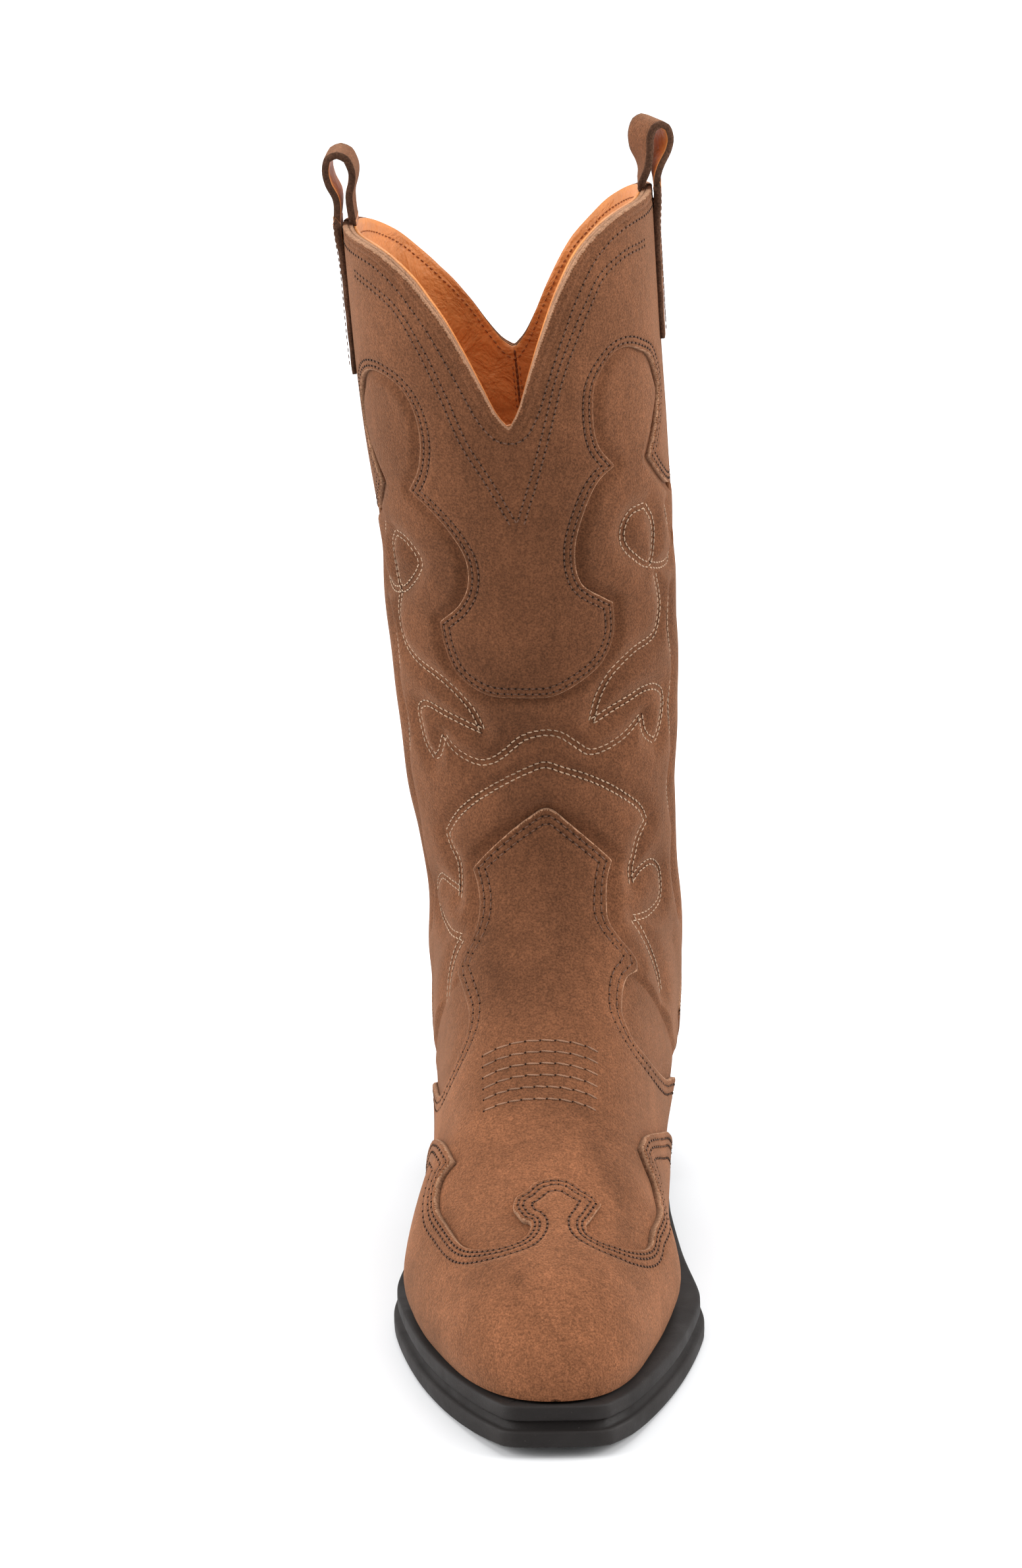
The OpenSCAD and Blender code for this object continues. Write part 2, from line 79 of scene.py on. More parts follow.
NOTCH_BACK = [[0, -62.5], [4, -59], [8, -53], [14, -42.5], [22, -31], [32, -21],
              [45, -11.5], [65, -4], [90, 0]]
SHIFT_X = 8.9
SIDE_TOP_Z = 348.5
TOP_TILT = 5
BASE_T, OVERLAY_T, LAYER_GAP, LINING_T = 1.6, 1.4, 0.45, 1.1
OVER_IN, OVER_OUT = LAYER_GAP, LAYER_GAP + OVERLAY_T
WING_IN = OVER_OUT + 2.1 * LAYER_GAP
WING_OUT = WING_IN + OVERLAY_T
LINING_OUT = -BASE_T - 0.3
HEEL_LINING_OUT = -BASE_T - 2.4 * LAYER_GAP - 1.2
TOE_END = -136
TOE_START = -105
HEEL_START = 60
HEEL_END = 136
FAN_Y, FAN_Z, FAN_PITCH, SPINE_Y = -60, 190, 100, 66
EDGE_LIFT = 1.2
VAMP_END = 8.94


def refine(table, n=6):
    """A Catmull-Rom refinement of a [station, value] table, as two arrays."""
    x, y = np.array(table, float).T
    m = np.empty(len(x))
    m[1:-1] = (y[2:] - y[:-2]) / (x[2:] - x[:-2])
    m[0], m[-1] = (y[1] - y[0]) / (x[1] - x[0]), (y[-1] - y[-2]) / (x[-1] - x[-2])
    xs, ys = [], []
    for i in range(len(x) - 1):
        h = x[i + 1] - x[i]
        u = np.arange(n + (i == len(x) - 2)) / n
        xs.append(x[i] + u * h)
        ys.append((2 * u**3 - 3 * u**2 + 1) * y[i] + (u**3 - 2 * u**2 + u) * h * m[i]
                  + (3 * u**2 - 2 * u**3) * y[i + 1] + (u**3 - u**2) * h * m[i + 1])
    return np.concatenate(xs), np.concatenate(ys)


def table_of(points):
    """The refined table as a function of station."""
    xs, ys = refine(points)
    return lambda x: np.interp(x, xs, ys)


seat, ridge, half, mid = map(table_of, (SEAT, RIDGE, HALF, MID))
front, back, wide, lean = map(table_of, (FRONT, BACK, WIDE, LEAN))
notch_front, notch_back = map(table_of, (NOTCH_FRONT, NOTCH_BACK))


def ramp(x, a, b):
    """A smooth step from 0 at a to 1 at b."""
    u = np.clip((np.asarray(x, float) - a) / (b - a), 0, 1)
    return u * u * (3 - 2 * u)


def level(p):
    """Below 0 inside the boot's panels and above 0 outside, for an array of points."""
    x, y, z = p[..., 0], p[..., 1], p[..., 2]
    s = seat(y)
    h = z - s
    w = half(y) - 3 * np.exp(-(h / 6)**2)
    u = np.maximum(0, (TOE_START - y) / (TOE_START - TOE_END))
    v = np.maximum(0, (y - HEEL_START) / (HEEL_END - HEEL_START))
    a = (np.abs((x - mid(y)) / w)**2.5 + np.maximum(h / (ridge(y) - s), 0)**2.1
         + u**2.5 + v**2.5 - 1)
    f, b = front(z), back(z)
    c = (np.abs((x - lean(z)) / wide(z))**2.15
         + np.abs((y - (f + b) / 2) / ((b - f) / 2))**2.15 - 1)
    m = np.minimum(a, c)
    return m - np.log(np.exp(-5 * (a - m)) + np.exp(-5 * (c - m))) / 5


def hit(origin, direction, reach):
    """Points where rays cross the surface, with the outward normals."""
    lo, hi = np.zeros(len(origin)), np.full(len(origin), float(reach))
    for _ in range(20):
        m = (lo + hi) / 2
        out = level(origin + direction * m[:, None]) > 0
        lo, hi = np.where(out, lo, m), np.where(out, m, hi)
    p = origin + direction * lo[:, None]
    n = np.stack([level(p + 0.4 * e) - level(p - 0.4 * e) for e in np.eye(3)], -1)
    return p, n / np.linalg.norm(n, axis=1, keepdims=True)


def shaft_hit(t, z):
    """Chart of the shaft: t degrees from the front (medial positive) and height z."""
    t, z = np.broadcast_arrays(np.radians(np.asarray(t, float)), np.asarray(z, float))
    o = np.stack([lean(z), (front(z) + back(z)) / 2, z], -1)
    return hit(o, np.stack([np.sin(t), -np.cos(t), 0 * t], -1), 170)


def foot_hit(s, t):
    """Chart of the foot: station s along the foot and t degrees from its ridge."""
    s, t = np.broadcast_arrays(np.asarray(s, float), np.radians(np.asarray(t, float)))
    a = np.maximum(0, (s - FAN_Y) / FAN_PITCH)
    ta = np.tan(np.maximum(a, 1e-6))
    lo, hi = np.full(s.shape, float(FAN_Y)), np.full(s.shape, 140.0)
    for _ in range(20):
        m = (lo + hi) / 2
        above = FAN_Z - (m - FAN_Y) / ta > seat(m)
        lo, hi = np.where(above, m, lo), np.where(above, hi, m)
    flat = a < 0.0017
    y = np.where(flat, s, np.minimum(SPINE_Y, (lo + hi) / 2))
    z = np.where(flat, seat(s), FAN_Z - (y - FAN_Y) / ta)
    o = np.stack([mid(y), y - EDGE_LIFT * np.sin(a), z + EDGE_LIFT * np.cos(a)], -1)
    return hit(o, np.stack([np.sin(t), -np.sin(a) * np.cos(t), np.cos(a) * np.cos(t)], -1),
               120)


def top_z(t):
    """Height of the shaft's top edge at t degrees."""
    t = (np.asarray(t, float) + 180) % 360 - 180
    a = np.abs(t)
    notch = np.where(a < 90, notch_front(np.minimum(a, 90)), notch_back(180 - np.maximum(a, 90)))
    return SIDE_TOP_Z + TOP_TILT * np.clip(2.4 * np.sin(np.radians(t)), -1, 1) + notch


def low_z(t, a=math.radians(40)):
    """Height of the shaft panels' lower edge at t degrees."""
    t = np.asarray(t, float)
    lo, hi = np.full(t.shape, 30.0), np.full(t.shape, 150.0)
    for _ in range(12):
        m = (lo + hi) / 2
        y = shaft_hit(t, m)[0][:, 1]
        above = m > np.maximum(FAN_Z - (y - FAN_Y) / math.tan(a), seat(y) + EDGE_LIFT)
        lo, hi = np.where(above, lo, m), np.where(above, m, hi)
    return lo


# ---------------------------------------------------------------- outlines, in chart units
# Lower edge of a collar against angle from its V (t, z), split at its sharp tips
COLLAR_EDGE = {
    -1: [[(-88, 247), (-78, 248), (-69, 254.5), (-61, 261)],
         [(-61, 261), (-67, 267), (-75, 277), (-76, 286), (-68, 295), (-58, 300), (-47, 301),
          (-38, 298), (-33.5, 292), (-32, 281.5), (-35, 270.5), (-41, 262.5)],
         [(-41, 262.5), (-33, 257.5), (-26, 250.5), (-20.8, 241), (-21, 232), (-25, 225),
          (-34, 218)],
         [(-34, 218), (-33, 210), (-29, 201), (-18, 194.5), (-2.5, 193.5)]],
    1: [[(-2.5, 193.5), (7.5, 194), (19.5, 199), (28, 205), (32.5, 213.5), (32.5, 224)],
        [(32.5, 224), (29, 226), (20, 232.5), (18.3, 244), (23.5, 258), (29.5, 266.5),
         (36.5, 270.5)],
        [(36.5, 270.5), (30.5, 278), (29, 288), (31, 300), (39, 308), (46, 308.7),
         (55.5, 305.5), (63.5, 301.5), (71.5, 289.5), (66.5, 280.5), (56.3, 269)],
        [(56.3, 269), (66, 261), (76.5, 255.5), (88, 253)]]}
# Rear edge of the vamp and its tongue (s, t)
VAMP_EDGE = [[(8.9, -90), (3, -75), (-6, -60), (-15.5, -42), (-15.5, -31), (-11, -24.5),
              (-4, -22.2), (4, -23), (14, -23.6), (22, -22), (29, -23.8), (35.5, -28),
              (41.2, -33)],
             [(41.2, -33), (51.4, -17.1), (56.8, -7.2), (58.6, -3), (58.4, 1), (53.3, 9.6),
              (42.6, 26.4)],
             [(42.6, 26.4), (36.5, 21.8), (29, 18.4), (23, 16.9), (19, 18.8), (15.2, 23),
              (8.3, 19.2), (0, 19.4), (-5, 21), (-9, 26.5), (-8.7, 35), (-2, 60), (4, 75),
              (8.9, 90)]]
# Rear edge of the wing-shaped toe overlay (s, t)
WING_EDGE = [[(-14, -90), (-19, -78), (-23, -66), (-26, -54), (-30.5, -44), (-38, -37),
              (-46.5, -32), (-54, -29.5)],
             [(-54, -29.5), (-55.5, -36), (-59, -40), (-65, -42), (-75, -40.5), (-87, -37.5),
              (-93, -33), (-97.5, -25), (-99, -17.5), (-97.5, -10), (-93.5, -6),
              (-90, -5.5), (-88.5, -8.7), (-83, -12)],
             [(-83, -12), (-78.5, -10), (-76, -6), (-72.5, -2), (-70.5, 5), (-71, 11),
              (-74, 16.5), (-76, 21.5), (-78.5, 24)],
             [(-78.5, 24), (-86.5, 20.5), (-89, 19), (-93, 20), (-94.5, 25), (-92.7, 33),
              (-90, 39), (-83.5, 47), (-77, 50.5), (-69.5, 49.5), (-62, 50.5), (-54.5, 51),
              (-48.5, 47.5), (-46.5, 41), (-43.5, 35)],
             [(-43.5, 35), (-36.5, 37), (-29, 44), (-22, 54), (-17, 63), (-13, 76),
              (-12, 90)]]
# Double rows of quilting on the front panel (t, z)
QUILT = [
    [(-58, 244), (-50, 243), (-42.5, 237), (-49, 229), (-58.5, 224.5), (-62, 232),
     (-63, 239), (-58, 244)],
    [(53, 253), (44, 252.5), (39.5, 248.5), (39, 243), (45.5, 236.5), (54.5, 232.5),
     (58.5, 240), (58.5, 246), (53, 253)],
    [(-59, 224), (-68, 222.5), (-77, 225), (-80, 233), (-76, 240), (-70, 246)],
    [(55, 232), (65, 229.5), (78, 229.5), (82, 235), (79, 241), (74, 248)],
    [(-59, 223.5), (-63, 215), (-60, 206), (-53, 202), (-38, 197.5), (-29.5, 192.5),
     (-24, 187), (-21, 181)],
    [(-21, 181), (-29.5, 183.2), (-39.5, 185.4), (-48, 186.5), (-54, 183.5), (-53.5, 178.5),
     (-51, 172), (-45.5, 168)],
    [(-45.5, 168), (-42.5, 170), (-40, 175), (-39, 177)],
    [(-39, 177), (-35.5, 173.7), (-29.5, 171), (-22.5, 169.7), (-17, 171), (-11.5, 174.5),
     (-5.5, 179), (3.3, 181), (9.5, 180), (15, 176.5), (20.5, 173), (29, 174),
     (38.5, 177.5), (45.5, 181.5)],
    [(45.5, 181.5), (48, 174.5), (54.5, 170.5)],
    [(54.5, 170.5), (57, 172), (61.5, 178.5), (62.3, 185), (56, 189.2), (47.5, 190.3),
     (40, 189), (30, 186.5), (22, 183.4)],
    [(22, 183.4), (25, 191.5), (31, 199), (42.5, 205), (57, 208), (62, 216), (58.7, 228)],
    [(-42.5, 141.3), (-36, 148.2), (-28, 154.8), (-19.5, 160.2), (-11, 164.7),
     (-2.5, 168.3), (3, 169.8), (9.5, 167.7), (16.7, 165.3), (25, 161.6), (36.6, 154.6),
     (45, 148.2), (47.6, 143.4)],
    [(-42.5, 141.3), (-40.5, 136.6), (-36.5, 132.3), (-35.4, 126.7), (-35, 119.7)],
    [(47.6, 143.4), (41, 138.8), (36.8, 133.2), (33.5, 129.2), (32.5, 124.2)],
    [(-35.7, 122.7), (-44.5, 122.5), (-54, 122), (-62.5, 114.5), (-56, 108),
     (-42.5, 106.4), (-29, 109)],
    [(33.3, 125.8), (38.6, 127.6), (49, 127.7), (55.2, 122.6), (52.4, 113.5),
     (39.7, 111.7), (28, 114)],
    [(-29, 109), (-31.7, 102.6), (-32.5, 95.8), (-30.3, 86.5), (-24.5, 81.3)],
    [(28, 114), (30, 109.9), (33.5, 100.7), (36.2, 90.1), (36, 84)],
    [(-74, 215), (-70, 204), (-73, 190), (-68, 176), (-73, 161), (-69, 146), (-75, 131),
     (-70, 116), (-72, 100)],
    [(75, 219), (71, 207), (75, 193), (70, 179), (75, 164), (71, 149), (77, 134),
     (71, 118), (74, 102)]]
# Double V of stitching below the notch, and the row along the top edge
V_ROW = {-1: [(-60, 333), (-46, 330.8), (-35, 325.8), (-26.4, 313.8), (-19.3, 297.3),
              (-14.3, 282.2), (-7.5, 269), (-0.9, 254.5)],
         1: [(62, 341), (45.3, 340.4), (34, 335.4), (28.1, 327.1), (22.5, 317), (17, 304.7),
             (11, 286), (5.5, 270), (-0.9, 254.5)]}


def spline(points, step=0.2):
    """Points of a centripetal Catmull-Rom curve through the given ones."""
    p = np.array(points, float)
    p = np.vstack([2 * p[0] - p[1], p, 2 * p[-1] - p[-2]])
    out = []
    for a, b, c, d in zip(p[:-3], p[1:-2], p[2:-1], p[3:]):
        k = np.cumsum([0] + [max(np.linalg.norm(v), 1e-6)**0.5 for v in (b - a, c - b, d - c)])
        t = np.linspace(k[1], k[2], max(2, int(np.linalg.norm(c - b) / step)))[:-1, None]
        a1 = (k[1] - t) / (k[1] - k[0]) * a + (t - k[0]) / (k[1] - k[0]) * b
        a2 = (k[2] - t) / (k[2] - k[1]) * b + (t - k[1]) / (k[2] - k[1]) * c
        a3 = (k[3] - t) / (k[3] - k[2]) * c + (t - k[2]) / (k[3] - k[2]) * d
        b1 = (k[2] - t) / (k[2] - k[0]) * a1 + (t - k[0]) / (k[2] - k[0]) * a2
        b2 = (k[3] - t) / (k[3] - k[1]) * a2 + (t - k[1]) / (k[3] - k[1]) * a3
        out.append((k[2] - t) / (k[2] - k[1]) * b1 + (t - k[1]) / (k[2] - k[1]) * b2)
    return np.vstack(out + [p[-2:-1]])


def joined(parts):
    """One line through several curves that meet at sharp tips."""
    return np.vstack([spline(q)[:-1] for q in parts[:-1]] + [spline(parts[-1])])


def resample(line, step):
    """The line with evenly spaced points about step apart."""
    gaps = np.linalg.norm(np.diff(line, axis=0), axis=1)
    at = np.concatenate([[0], np.cumsum(gaps)])
    n = max(2, int(round(at[-1] / step)) + 1)
    u = np.linspace(0, at[-1], n)
    return np.stack([np.interp(u, at, line[:, k]) for k in range(line.shape[1])], -1)


def offset_line(line, d):
    """The line moved sideways by d, to the left of its direction."""
    g = np.gradient(line, axis=0)
    g /= np.linalg.norm(g, axis=1, keepdims=True) + 1e-9
    return line + d * np.stack([-g[:, 1], g[:, 0]], -1)


class Chart:
    """A chart laid flat in mm: flat = scale of chart units, with a hit function."""

    def __init__(self, surface, to_chart, to_flat):
        self.surface, self.to_chart, self.to_flat = surface, to_chart, to_flat

    def hit(self, flat):
        return self.surface(*self.to_chart(np.asarray(flat, float)))


SHAFT_DEG = 0.83
FOOT_DEG = 0.74
TOE_SQUEEZE = 0.62
TOE_SPAN = VAMP_END + 60 - TOE_END


def shaft_flat(tz):
    return np.stack([tz[:, 0] * SHAFT_DEG, tz[:, 1]], -1)


def shaft_chart(uv):
    return uv[:, 0] / SHAFT_DEG, uv[:, 1]


def foot_flat(st):
    w = np.clip((st[:, 0] - TOE_END - 0.004) / TOE_SPAN, 0, None)**TOE_SQUEEZE
    return np.stack([st[:, 1] * FOOT_DEG, w * TOE_SPAN], -1)


def foot_chart(uv):
    s = np.clip(uv[:, 1] / TOE_SPAN, 0, None)**(1 / TOE_SQUEEZE) * TOE_SPAN
    return s + TOE_END + 0.004, uv[:, 0] / FOOT_DEG


SHAFT = Chart(shaft_hit, shaft_chart, shaft_flat)
FOOT = Chart(foot_hit, foot_chart, foot_flat)


def inside(points, polygon):
    """Which points lie within a closed polygon, by counting crossings."""
    x, y = points[:, 0], points[:, 1]
    result = np.zeros(len(points), bool)
    for (x0, y0), (x1, y1) in zip(polygon, np.roll(polygon, -1, axis=0)):
        if y0 != y1:
            cross = (y0 > y) != (y1 > y)
            result ^= cross & (x < (x1 - x0) * (y - y0) / (y1 - y0) + x0)
    return result


def nearest(points, line):
    """Distance from each point to the nearest sample of a line, in any dimension up to 3."""
    line = np.asarray(line, float)
    tree = kdtree.KDTree(len(line))
    pad = [0.0] * (3 - line.shape[1])
    for i, q in enumerate(line):
        tree.insert([*q, *pad], i)
    tree.balance()
    return np.array([tree.find([*q, *pad])[2] for q in points])


# ---------------------------------------------------------------- materials
def shader(name):
    """A new node material: its nodes, its links and its Principled shader."""
    m = bpy.data.materials.new(name)
    m.use_nodes = True
    nodes = m.node_tree.nodes
    return m, nodes, m.node_tree.links, nodes["Principled BSDF"]


def noise_of(nodes, links, coords, scale, detail=3.0, rough=0.6, distortion=0.0):
    """A noise texture in object space, scale per metre."""
    n = nodes.new("ShaderNodeTexNoise")
    n.inputs["Scale"].default_value = scale
    n.inputs["Detail"].default_value = detail
    n.inputs["Roughness"].default_value = rough
    n.inputs["Distortion"].default_value = distortion
    links.new(coords, n.inputs["Vector"])
    return n.outputs["Fac"]


def ramp_of(nodes, links, fac, stops):
    """A colour ramp with the stops (position, colour)."""
    r = nodes.new("ShaderNodeValToRGB")
    el = r.color_ramp.elements
    while len(el) < len(stops):
        el.new(0.5)
    for e, (at, colour) in zip(el, stops):
        e.position, e.color = at, (*colour, 1)
    links.new(fac, r.inputs["Fac"])
    return r.outputs["Color"]


def mixed(nodes, links, a, b, fac=0.5, mode="MIX"):
    """Two colours mixed; fac is a number or a socket."""
    m = nodes.new("ShaderNodeMix")
    m.data_type, m.blend_type = "RGBA", mode
    if isinstance(fac, float):
        m.inputs["Factor"].default_value = fac
    else:
        links.new(fac, m.inputs["Factor"])
    links.new(a, m.inputs["A"])
    links.new(b, m.inputs["B"])
    return m.outputs["Result"]


def bumped(nodes, links, p, layers):
    """Chains bumps (height socket, strength, distance in metres) into the shader's normal."""
    last = None
    for height, strength, distance in layers:
        b = nodes.new("ShaderNodeBump")
        b.inputs["Strength"].default_value = strength
        b.inputs["Distance"].default_value = distance
        links.new(height, b.inputs["Height"])
        if last is not None:
            links.new(last, b.inputs["Normal"])
        last = b.outputs["Normal"]
    links.new(last, p.inputs["Normal"])


def object_coords(nodes):
    return nodes.new("ShaderNodeTexCoord").outputs["Object"]


def scaled(colour, k):
    return tuple(min(1, c * k) for c in colour)


def suede_material(name, colour, patch=0.12, nap=1.0, shade_by_height=()):
    """Napped suede: brushed patches, streaks, fine grain, dark pores and a soft sheen.
    Its optional pairs of a height in metres and a brightness are painted shade and light: they
    darken or lighten the suede by height."""
    m, nodes, links, p = shader(name)
    co = object_coords(nodes)
    patches = ramp_of(nodes, links, noise_of(nodes, links, co, 26, 3, 0.5, 0.4),
                      [(0.34, scaled(colour, 1 - patch)), (0.66, scaled(colour, 1 + patch))])
    stretch = nodes.new("ShaderNodeMapping")
    stretch.inputs["Scale"].default_value = (1, 1, 0.35)
    links.new(co, stretch.inputs["Vector"])
    streaks = ramp_of(nodes, links, noise_of(nodes, links, stretch.outputs[0], 260, 3, 0.6),
                      [(0.3, (0.88,) * 3), (0.7, (1.1,) * 3)])
    grain = noise_of(nodes, links, co, 1500, 2.5, 0.7)
    grains = ramp_of(nodes, links, grain, [(0.36, (0.6,) * 3), (0.5, (0.96,) * 3),
                                           (0.64, (1.34,) * 3)])
    c = mixed(nodes, links, patches, streaks, 1.0, "MULTIPLY")
    c = mixed(nodes, links, c, grains, 0.85, "MULTIPLY")
    # Painted shade and light: the base colour is darkened or lightened by height, standing in for
    # how the studio light falls on the boot.
    if shade_by_height:
        parts = nodes.new("ShaderNodeSeparateXYZ")
        links.new(co, parts.inputs[0])
        span = nodes.new("ShaderNodeMath")
        span.operation = "DIVIDE"
        span.inputs[1].default_value = PAINTED_SHADE_TOP
        links.new(parts.outputs["Z"], span.inputs[0])
        shade = ramp_of(nodes, links, span.outputs[0],
                        [(z / PAINTED_SHADE_TOP, (k,) * 3) for z, k in shade_by_height])
        c = mixed(nodes, links, c, shade, 1.0, "MULTIPLY")
    mottle = ramp_of(nodes, links, noise_of(nodes, links, co, 640, 2, 0.6),
                     [(0.36, (0.91,) * 3), (0.62, (1.08,) * 3)])
    c = mixed(nodes, links, c, mottle, 1.0, "MULTIPLY")
    links.new(c, p.inputs["Base Color"])
    p.inputs["Roughness"].default_value = 0.95
    p.inputs["Specular IOR Level"].default_value = 0.12
    p.inputs["Sheen Weight"].default_value = 0.3
    p.inputs["Sheen Roughness"].default_value = 0.34
    p.inputs["Sheen Tint"].default_value = (1.0, 0.62, 0.4, 1)
    lumps = noise_of(nodes, links, co, 300, 3, 0.6)
    bumped(nodes, links, p, [(lumps, 0.25, 0.0006), (grain, 0.8 * nap, 0.0005)])
    return m


def leather_material(name, colour, rough=0.5, wrinkle=0.5):
    """Smooth lining leather: pores, soft wrinkles and a warm uneven dye."""
    m, nodes, links, p = shader(name)
    co = object_coords(nodes)
    dye = ramp_of(nodes, links, noise_of(nodes, links, co, 36, 4, 0.6, 0.8),
                  [(0.32, scaled(colour, 0.78)), (0.68, scaled(colour, 1.16))])
    pores = nodes.new("ShaderNodeTexVoronoi")
    pores.inputs["Scale"].default_value = 950
    links.new(co, pores.inputs["Vector"])
    dots = ramp_of(nodes, links, pores.outputs["Distance"],
                   [(0.05, (0.8,) * 3), (0.35, (1.0,) * 3)])
    links.new(mixed(nodes, links, dye, dots, 0.7, "MULTIPLY"), p.inputs["Base Color"])
    p.inputs["Roughness"].default_value = rough
    p.inputs["Specular IOR Level"].default_value = 0.4
    folds = noise_of(nodes, links, co, 70, 4, 0.62, 1.4)
    bumped(nodes, links, p, [(folds, wrinkle, 0.003),
                             (pores.outputs["Distance"], 0.3, 0.0003)])
    return m


def rubber_material(name, colour, rough=0.55, dust=0.5):
    """Moulded rubber: faint mottling, fine grain and a few light dust specks."""
    m, nodes, links, p = shader(name)
    co = object_coords(nodes)
    base = ramp_of(nodes, links, noise_of(nodes, links, co, 60, 4, 0.6),
                   [(0.3, scaled(colour, 0.8)), (0.7, scaled(colour, 1.25))])
    specks = ramp_of(nodes, links, noise_of(nodes, links, co, 1500, 2, 0.5),
                     [(0.72, (0, 0, 0)), (0.8, (dust * 0.12, dust * 0.1, dust * 0.09))])
    links.new(mixed(nodes, links, base, specks, 1.0, "ADD"), p.inputs["Base Color"])
    smear = ramp_of(nodes, links, noise_of(nodes, links, co, 45, 4, 0.6, 0.5),
                    [(0.3, (rough - 0.1,) * 3), (0.7, (rough + 0.15,) * 3)])
    links.new(smear, p.inputs["Roughness"])
    p.inputs["Specular IOR Level"].default_value = 0.28
    bumped(nodes, links, p, [(noise_of(nodes, links, co, 160, 3, 0.6), 0.15, 0.0008),
                             (noise_of(nodes, links, co, 1800, 2, 0.6), 0.3, 0.0002)])
    return m


def thread_material(name, colour):
    """Twisted sewing thread: light and dark ply bands and fine fuzz."""
    m, nodes, links, p = shader(name)
    co = object_coords(nodes)
    wave = nodes.new("ShaderNodeTexWave")
    wave.bands_direction = "DIAGONAL"
    wave.inputs["Scale"].default_value = 900
    wave.inputs["Distortion"].default_value = 2
    links.new(co, wave.inputs["Vector"])
    ply = ramp_of(nodes, links, wave.outputs["Fac"],
                  [(0.1, scaled(colour, 0.7)), (0.8, scaled(colour, 1.15))])
    fade = ramp_of(nodes, links, noise_of(nodes, links, co, 120, 3, 0.6),
                   [(0.35, (0.72,) * 3), (0.65, (1.08,) * 3)])
    links.new(mixed(nodes, links, ply, fade, 1.0, "MULTIPLY"), p.inputs["Base Color"])
    p.inputs["Roughness"].default_value = 0.8
    bumped(nodes, links, p, [(wave.outputs["Fac"], 0.5, 0.0002)])
    return m


def grained_material(name, colour, scale, contrast, rough, metal=0.0):
    """Board, cork, counter sheet or steel: two scales of noise in colour and bump."""
    m, nodes, links, p = shader(name)
    co = object_coords(nodes)
    coarse = noise_of(nodes, links, co, scale, 5, 0.65, 0.5)
    fine = noise_of(nodes, links, co, scale * 6, 3, 0.6)
    a = ramp_of(nodes, links, coarse, [(0.3, scaled(colour, 1 - contrast)),
                                       (0.7, scaled(colour, 1 + contrast))])
    b = ramp_of(nodes, links, fine, [(0.3, (0.85,) * 3), (0.7, (1.1,) * 3)])
    links.new(mixed(nodes, links, a, b, 1.0, "MULTIPLY"), p.inputs["Base Color"])
    p.inputs["Roughness"].default_value = rough
    p.inputs["Metallic"].default_value = metal
    bumped(nodes, links, p, [(coarse, 0.3, 0.0006), (fine, 0.4, 0.0002)])
    return m


# Painted shade and light by height: brightness factors for the shaft, overlay and foot suede that
# stand in for the studio light, not a dye.
PAINTED_SHADE_TOP = 0.4
SHAFT_PAINTED_SHADE = ((0.06, 0.95), (0.13, 0.82), (0.22, 0.76), (0.27, 0.84), (0.31, 0.92), (0.35, 0.9))
FOOT_PAINTED_SHADE = ((0.02, 0.8), (0.035, 0.94), (0.06, 0.88), (0.09, 0.72), (0.13, 0.56), (0.2, 0.6))
TAN = (0.162, 0.0635, 0.029)
M_SHAFT = suede_material("suede_shaft", TAN, 0.14, 1.0, SHAFT_PAINTED_SHADE)
M_OVER = suede_material("suede_overlay", TAN, 0.14, 1.0, SHAFT_PAINTED_SHADE)
M_FOOT = suede_material("suede_foot", scaled(TAN, 1.25), 0.26, 1.0, FOOT_PAINTED_SHADE)
M_RAW = suede_material("suede_raw_edge", (0.31, 0.165, 0.095), 0.1)
M_STRAP = suede_material("suede_strap", scaled(TAN, 0.92))
M_DARK = suede_material("suede_dark_edge", (0.075, 0.035, 0.02), 0.3)
M_COGNAC = leather_material("leather_cognac", (0.62, 0.23, 0.062), 0.5, 0.55)
M_SEAM = leather_material("leather_seam", (0.16, 0.05, 0.016), 0.7, 0.2)
M_SOCK = leather_material("leather_sock", (0.55, 0.2, 0.055), 0.55, 0.3)
M_RUBBER = rubber_material("rubber_sole", (0.0125, 0.0096, 0.0086), 0.66)
M_HEEL = rubber_material("rubber_heel", (0.012, 0.010, 0.0095), 0.65)
M_CREAM = thread_material("thread_cream", (0.47, 0.31, 0.2))
M_TONE = thread_material("thread_tan", (0.15, 0.066, 0.034))
M_FLEX = thread_material("thread_flex", (0.29, 0.148, 0.082))
# Painted shade: near-black suede for the needle holes, standing in for the shadow inside them.
M_HOLE_SHADE = suede_material("needle_hole_shade", (0.014, 0.0065, 0.004), 0.2)
M_BOARD = grained_material("fibre_board", (0.5, 0.38, 0.24), 90, 0.2, 0.85)
M_CORK = grained_material("cork_fill", (0.42, 0.25, 0.12), 240, 0.45, 0.9)
M_STIFF = grained_material("stiffener_sheet", (0.62, 0.5, 0.36), 130, 0.12, 0.8)
M_STEEL = grained_material("shank_steel", (0.5, 0.5, 0.52), 60, 0.08, 0.35, 1.0)


# ---------------------------------------------------------------- mesh helpers
def piece(name, verts, faces, materials, replaced=(), body=BOOT, face_material=None,
          smooth=True):
    """A mesh object from points in mm of the boot's own frame, riding on a body."""
    mesh = bpy.data.meshes.new(name)
    v = (np.asarray(verts, float) + (SHIFT_X, 0, 0)) * MM
    mesh.from_pydata(v.tolist(), [], [list(map(int, f)) for f in faces])
    obj = bpy.data.objects.new(name, mesh)
    bpy.context.scene.collection.objects.link(obj)
    for m in materials:
        mesh.materials.append(m)
    if face_material is not None:
        mesh.polygons.foreach_set("material_index", np.asarray(face_material, np.int32))
    mesh.polygons.foreach_set("use_smooth", [smooth] * len(mesh.polygons))
    mesh.validate()
    mesh.update()
    if body:
        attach(obj, body)
    if replaced:
        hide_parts(*replaced)
    return obj


